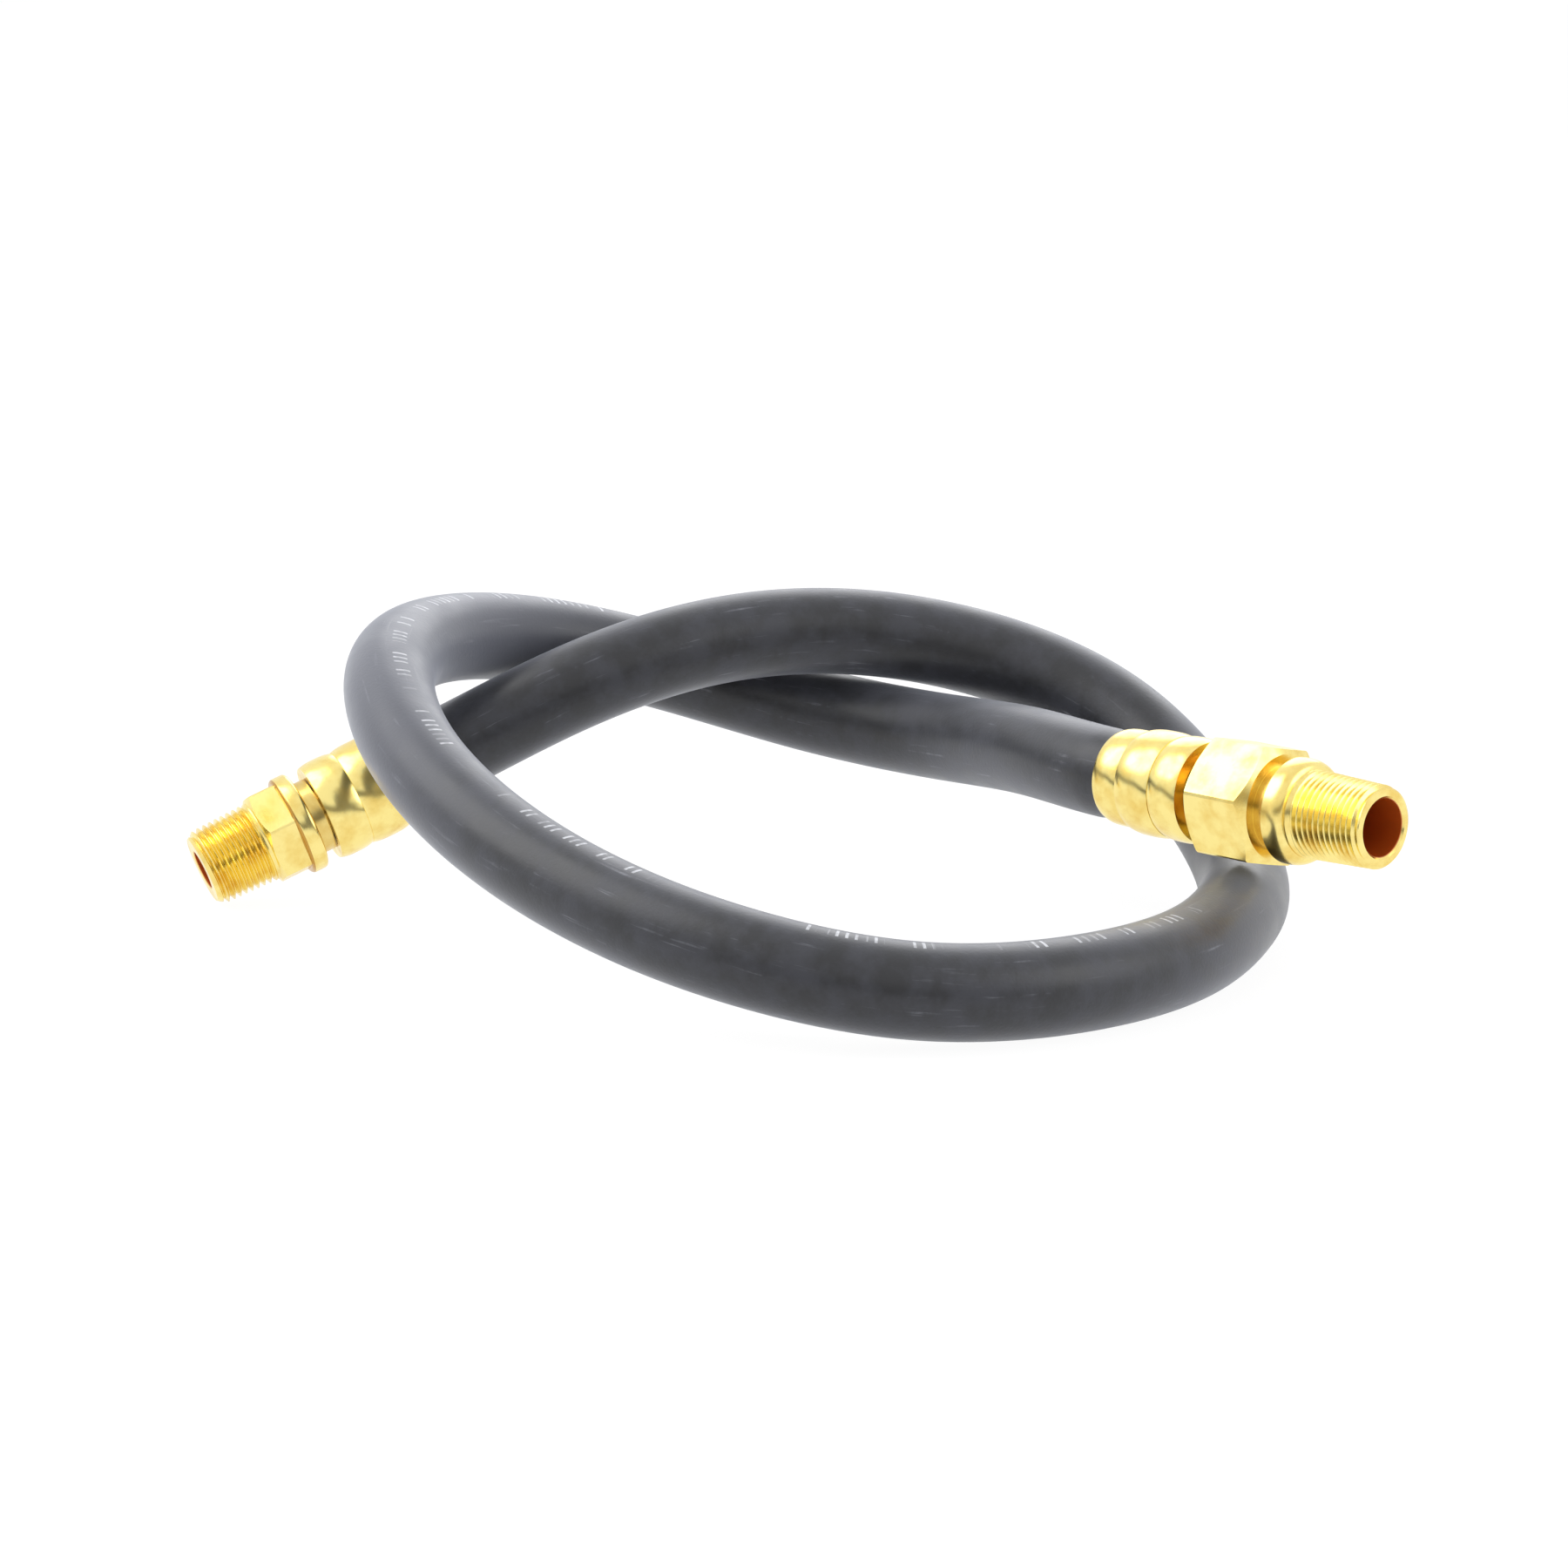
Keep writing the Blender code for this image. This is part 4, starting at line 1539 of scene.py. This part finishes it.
@dataclass
class Studio:
    """The floor, the soft lights and the camera of the photograph's view.

    The lamps have a name, a place, a size and a power in watts. The dim side of the room is
    darkest at the floor and gone at the upper end of dim_height, and it spreads round its
    direction as far as dim_spread gives.
    """

    floor_size: float = 6.0
    paper: float = 0.9
    paper_glow: float = 1.07
    paper_glow_share: float = 0.88
    lamps: tuple[tuple[str, tuple[float, float, float], float, float], ...] = (
        ("key_softbox", (-0.9, -1.0, 1.5), 1.8, 20.0),
        ("side_softbox", (1.5, 0.7, 1.0), 1.4, 8.0),
        ("back_softbox", (-0.9, 1.2, 1.0), 1.4, 8.0),
    )
    lamp_target: tuple[float, float, float] = (0.0, 0.0, 0.03)
    room_light: float = 0.7
    dim_side: tuple[float, float, float] = (0.72, -0.69, 0.0)
    dim_height: tuple[float, float] = (0.10, 0.34)
    dim_spread: tuple[float, float] = (0.45, 0.90)
    dimming: float = 0.85
    eye: tuple[float, float, float] = (0.7678, -0.7351, 0.2528)
    right: tuple[float, float, float] = (0.6859, 0.7277, 0.0)
    up: tuple[float, float, float] = (-0.1483, 0.1398, 0.9790)
    lens: float = 118.85
    sensor: float = 36.0
    clip_start: float = 0.01

    def build(self) -> None:
        """Build the floor, the lights, the world and the camera."""
        self.build_floor()
        self.build_lights()
        self.build_world()
        self.build_camera()

    def build_floor(self) -> None:
        """Lay a white floor that is pure white to the eye but keeps a faint shadow."""
        half = self.floor_size / 2.0
        mesh = bpy.data.meshes.new("studio_floor")
        corners = [(-half, -half, 0.0), (half, -half, 0.0), (half, half, 0.0), (-half, half, 0.0)]
        mesh.from_pydata(corners, [], [(0, 1, 2, 3)])
        made = bpy.data.materials.new("studio_paper")
        made.use_nodes = True
        tree = made.node_tree
        tree.nodes.clear()
        paper = add_node(tree, "ShaderNodeBsdfDiffuse", None, {"Color": grey(self.paper)})
        glow = add_node(
            tree, "ShaderNodeEmission", None, {"Color": grey(1.0), "Strength": self.paper_glow}
        )
        path = add_node(tree, "ShaderNodeLightPath")
        share = add_node(
            tree, "ShaderNodeMath", {"operation": "MULTIPLY"},
            {0: shown_plainly(tree, path), 1: self.paper_glow_share},
        )
        mixed = add_node(
            tree, "ShaderNodeMixShader", None,
            {0: share.outputs["Value"], 1: paper.outputs[0], 2: glow.outputs[0]},
        )
        add_node(tree, "ShaderNodeOutputMaterial", None, {"Surface": mixed.outputs[0]})
        mesh.materials.append(made)
        floor = bpy.data.objects.new("studio_floor", mesh)
        bpy.context.scene.collection.objects.link(floor)

    def build_lights(self) -> None:
        """Hang the soft lamps round the hose."""
        for name, place, size, power in self.lamps:
            data = bpy.data.lights.new(name, "AREA")
            data.shape = "DISK"
            data.size = size
            data.energy = power
            lamp = bpy.data.objects.new(name, data)
            bpy.context.scene.collection.objects.link(lamp)
            lamp.location = place
            aim = Vector(self.lamp_target) - Vector(place)
            lamp.rotation_mode = "QUATERNION"
            lamp.rotation_quaternion = aim.to_track_quat("-Z", "Y")

    def build_world(self) -> None:
        """Make the room: white to the eye, and a plain light to matt surfaces.

        Gloss sees it white too, apart from a low dim side where the photographer stood, which gives
        bright metal its darker band.
        """
        world = bpy.data.worlds.new("studio_world")
        bpy.context.scene.world = world
        world.use_nodes = True
        tree = world.node_tree
        tree.nodes.clear()
        path = add_node(tree, "ShaderNodeLightPath")
        way = add_node(tree, "ShaderNodeTexCoord").outputs["Generated"]
        front = add_node(
            tree, "ShaderNodeVectorMath", {"operation": "DOT_PRODUCT"},
            {0: way, 1: self.dim_side},
        )
        level = add_node(tree, "ShaderNodeSeparateXYZ", inputs={0: way})
        above = add_node(
            tree, "ShaderNodeMapRange", {"interpolation_type": "SMOOTHSTEP"},
            {"Value": level.outputs["Z"], "From Min": self.dim_height[0],
             "From Max": self.dim_height[1], "To Min": self.dimming, "To Max": 0.0},
        )
        beside = add_node(
            tree, "ShaderNodeMapRange", {"interpolation_type": "SMOOTHSTEP"},
            {"Value": front.outputs["Value"], "From Min": self.dim_spread[0],
             "From Max": self.dim_spread[1]},
        )
        dim = add_node(
            tree, "ShaderNodeMath", {"operation": "MULTIPLY"},
            {0: above.outputs["Result"], 1: beside.outputs["Result"]},
        )
        dim = add_node(
            tree, "ShaderNodeMath", {"operation": "MULTIPLY"},
            {0: dim.outputs[0], 1: path.outputs["Is Glossy Ray"]},
        )
        strength = add_node(
            tree, "ShaderNodeMath", {"operation": "SUBTRACT"}, {0: 1.0, 1: dim.outputs[0]}
        )
        plain = add_node(
            tree, "ShaderNodeBackground", None, {"Color": grey(1.0), "Strength": self.room_light}
        )
        white = add_node(
            tree, "ShaderNodeBackground", None,
            {"Color": grey(1.0), "Strength": strength.outputs[0]},
        )
        mixed = add_node(
            tree, "ShaderNodeMixShader", None,
            {0: shown_plainly(tree, path), 1: plain.outputs[0], 2: white.outputs[0]},
        )
        add_node(tree, "ShaderNodeOutputWorld", None, {"Surface": mixed.outputs[0]})

    def build_camera(self) -> None:
        """Stand the camera where the photograph was taken from."""
        data = bpy.data.cameras.new("photo_camera")
        data.sensor_fit = "HORIZONTAL"
        data.sensor_width = self.sensor
        data.lens = self.lens
        data.clip_start = self.clip_start
        camera = bpy.data.objects.new("photo_camera", data)
        bpy.context.scene.collection.objects.link(camera)
        right = Vector(self.right).normalized()
        up = (Vector(self.up) - right * Vector(self.up).dot(right)).normalized()
        back = right.cross(up)
        turned = Matrix((right, up, back)).transposed().to_4x4()
        camera.matrix_world = Matrix.Translation(Vector(self.eye)) @ turned
        bpy.context.scene.camera = camera


def attach(piece: bpy.types.Object, body: Body, node: str) -> None:
    """Put a piece on its body in place of its CAD node, and report it.

    Args:
        piece: The piece.
        body: The body that it moves with.
        node: The CAD node that it stands for.
    """
    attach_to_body(piece, body.value)
    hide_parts(node)
    LOG.info("%s: %d faces on %s", piece.name, len(piece.data.polygons), body.value)


def main() -> None:
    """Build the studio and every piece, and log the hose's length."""
    logging.basicConfig(level=logging.INFO, format="%(message)s")
    bpy.context.scene.view_settings.view_transform = "Standard"
    Studio().build()
    rubber = HoseRubber(math.pi * HOSE_OUTSIDE).material()
    fixed_brass = TurnedBrass(
        "turned_brass_fixed_end", FIXED_PLACE, FIXED_GROOVES, FIXED_BORE_MM
    ).material()
    brass = TurnedBrass(
        "turned_brass_swivel_end", SWIVEL_PLACE, SWIVEL_GROOVES, SWIVEL_BORE_MM
    ).material()
    seal = SealRubber().material()
    steel = SpringSteel().material()

    hose, path = Hose("rubber_hose", FIXED_PLACE, SWIVEL_PLACE).build(rubber)
    attach(hose, Body.HOSE, "hose")
    for part, node in (
        (FixedStem("fixed_end", FIXED_PLACE), "fixed_stem"),
        (Ferrule("fixed_crimp_ferrule", FIXED_PLACE), "fixed_ferrule"),
    ):
        attach(part.build(fixed_brass), Body.HOSE, node)
    for part, material, body, slot, node in (
        (SwivelStem("swivel_tail", SWIVEL_PLACE), brass, Body.HOSE, Slot.BRASS, "swivel_stem"),
        (Ferrule("swivel_crimp_ferrule", SWIVEL_PLACE), brass, Body.HOSE, Slot.BRASS,
         "swivel_ferrule"),
        (SwivelBody("swivel_end", SWIVEL_PLACE), brass, Body.SWIVEL, Slot.BRASS, "swivel_body"),
        (SealRing("journal_seal", SWIVEL_PLACE), seal, Body.HOSE, Slot.SEAL, "swivel_seal_ring"),
        (RetainingRing("journal_wire", SWIVEL_PLACE), steel, Body.HOSE, Slot.STEEL,
         "swivel_retaining_ring"),
    ):
        piece = part.build(material)
        attach(piece, body, node)
    LOG.info("hose length along its middle: %.4f m", lengths_along(path)[-1])


if __name__ == "__main__":
    main()
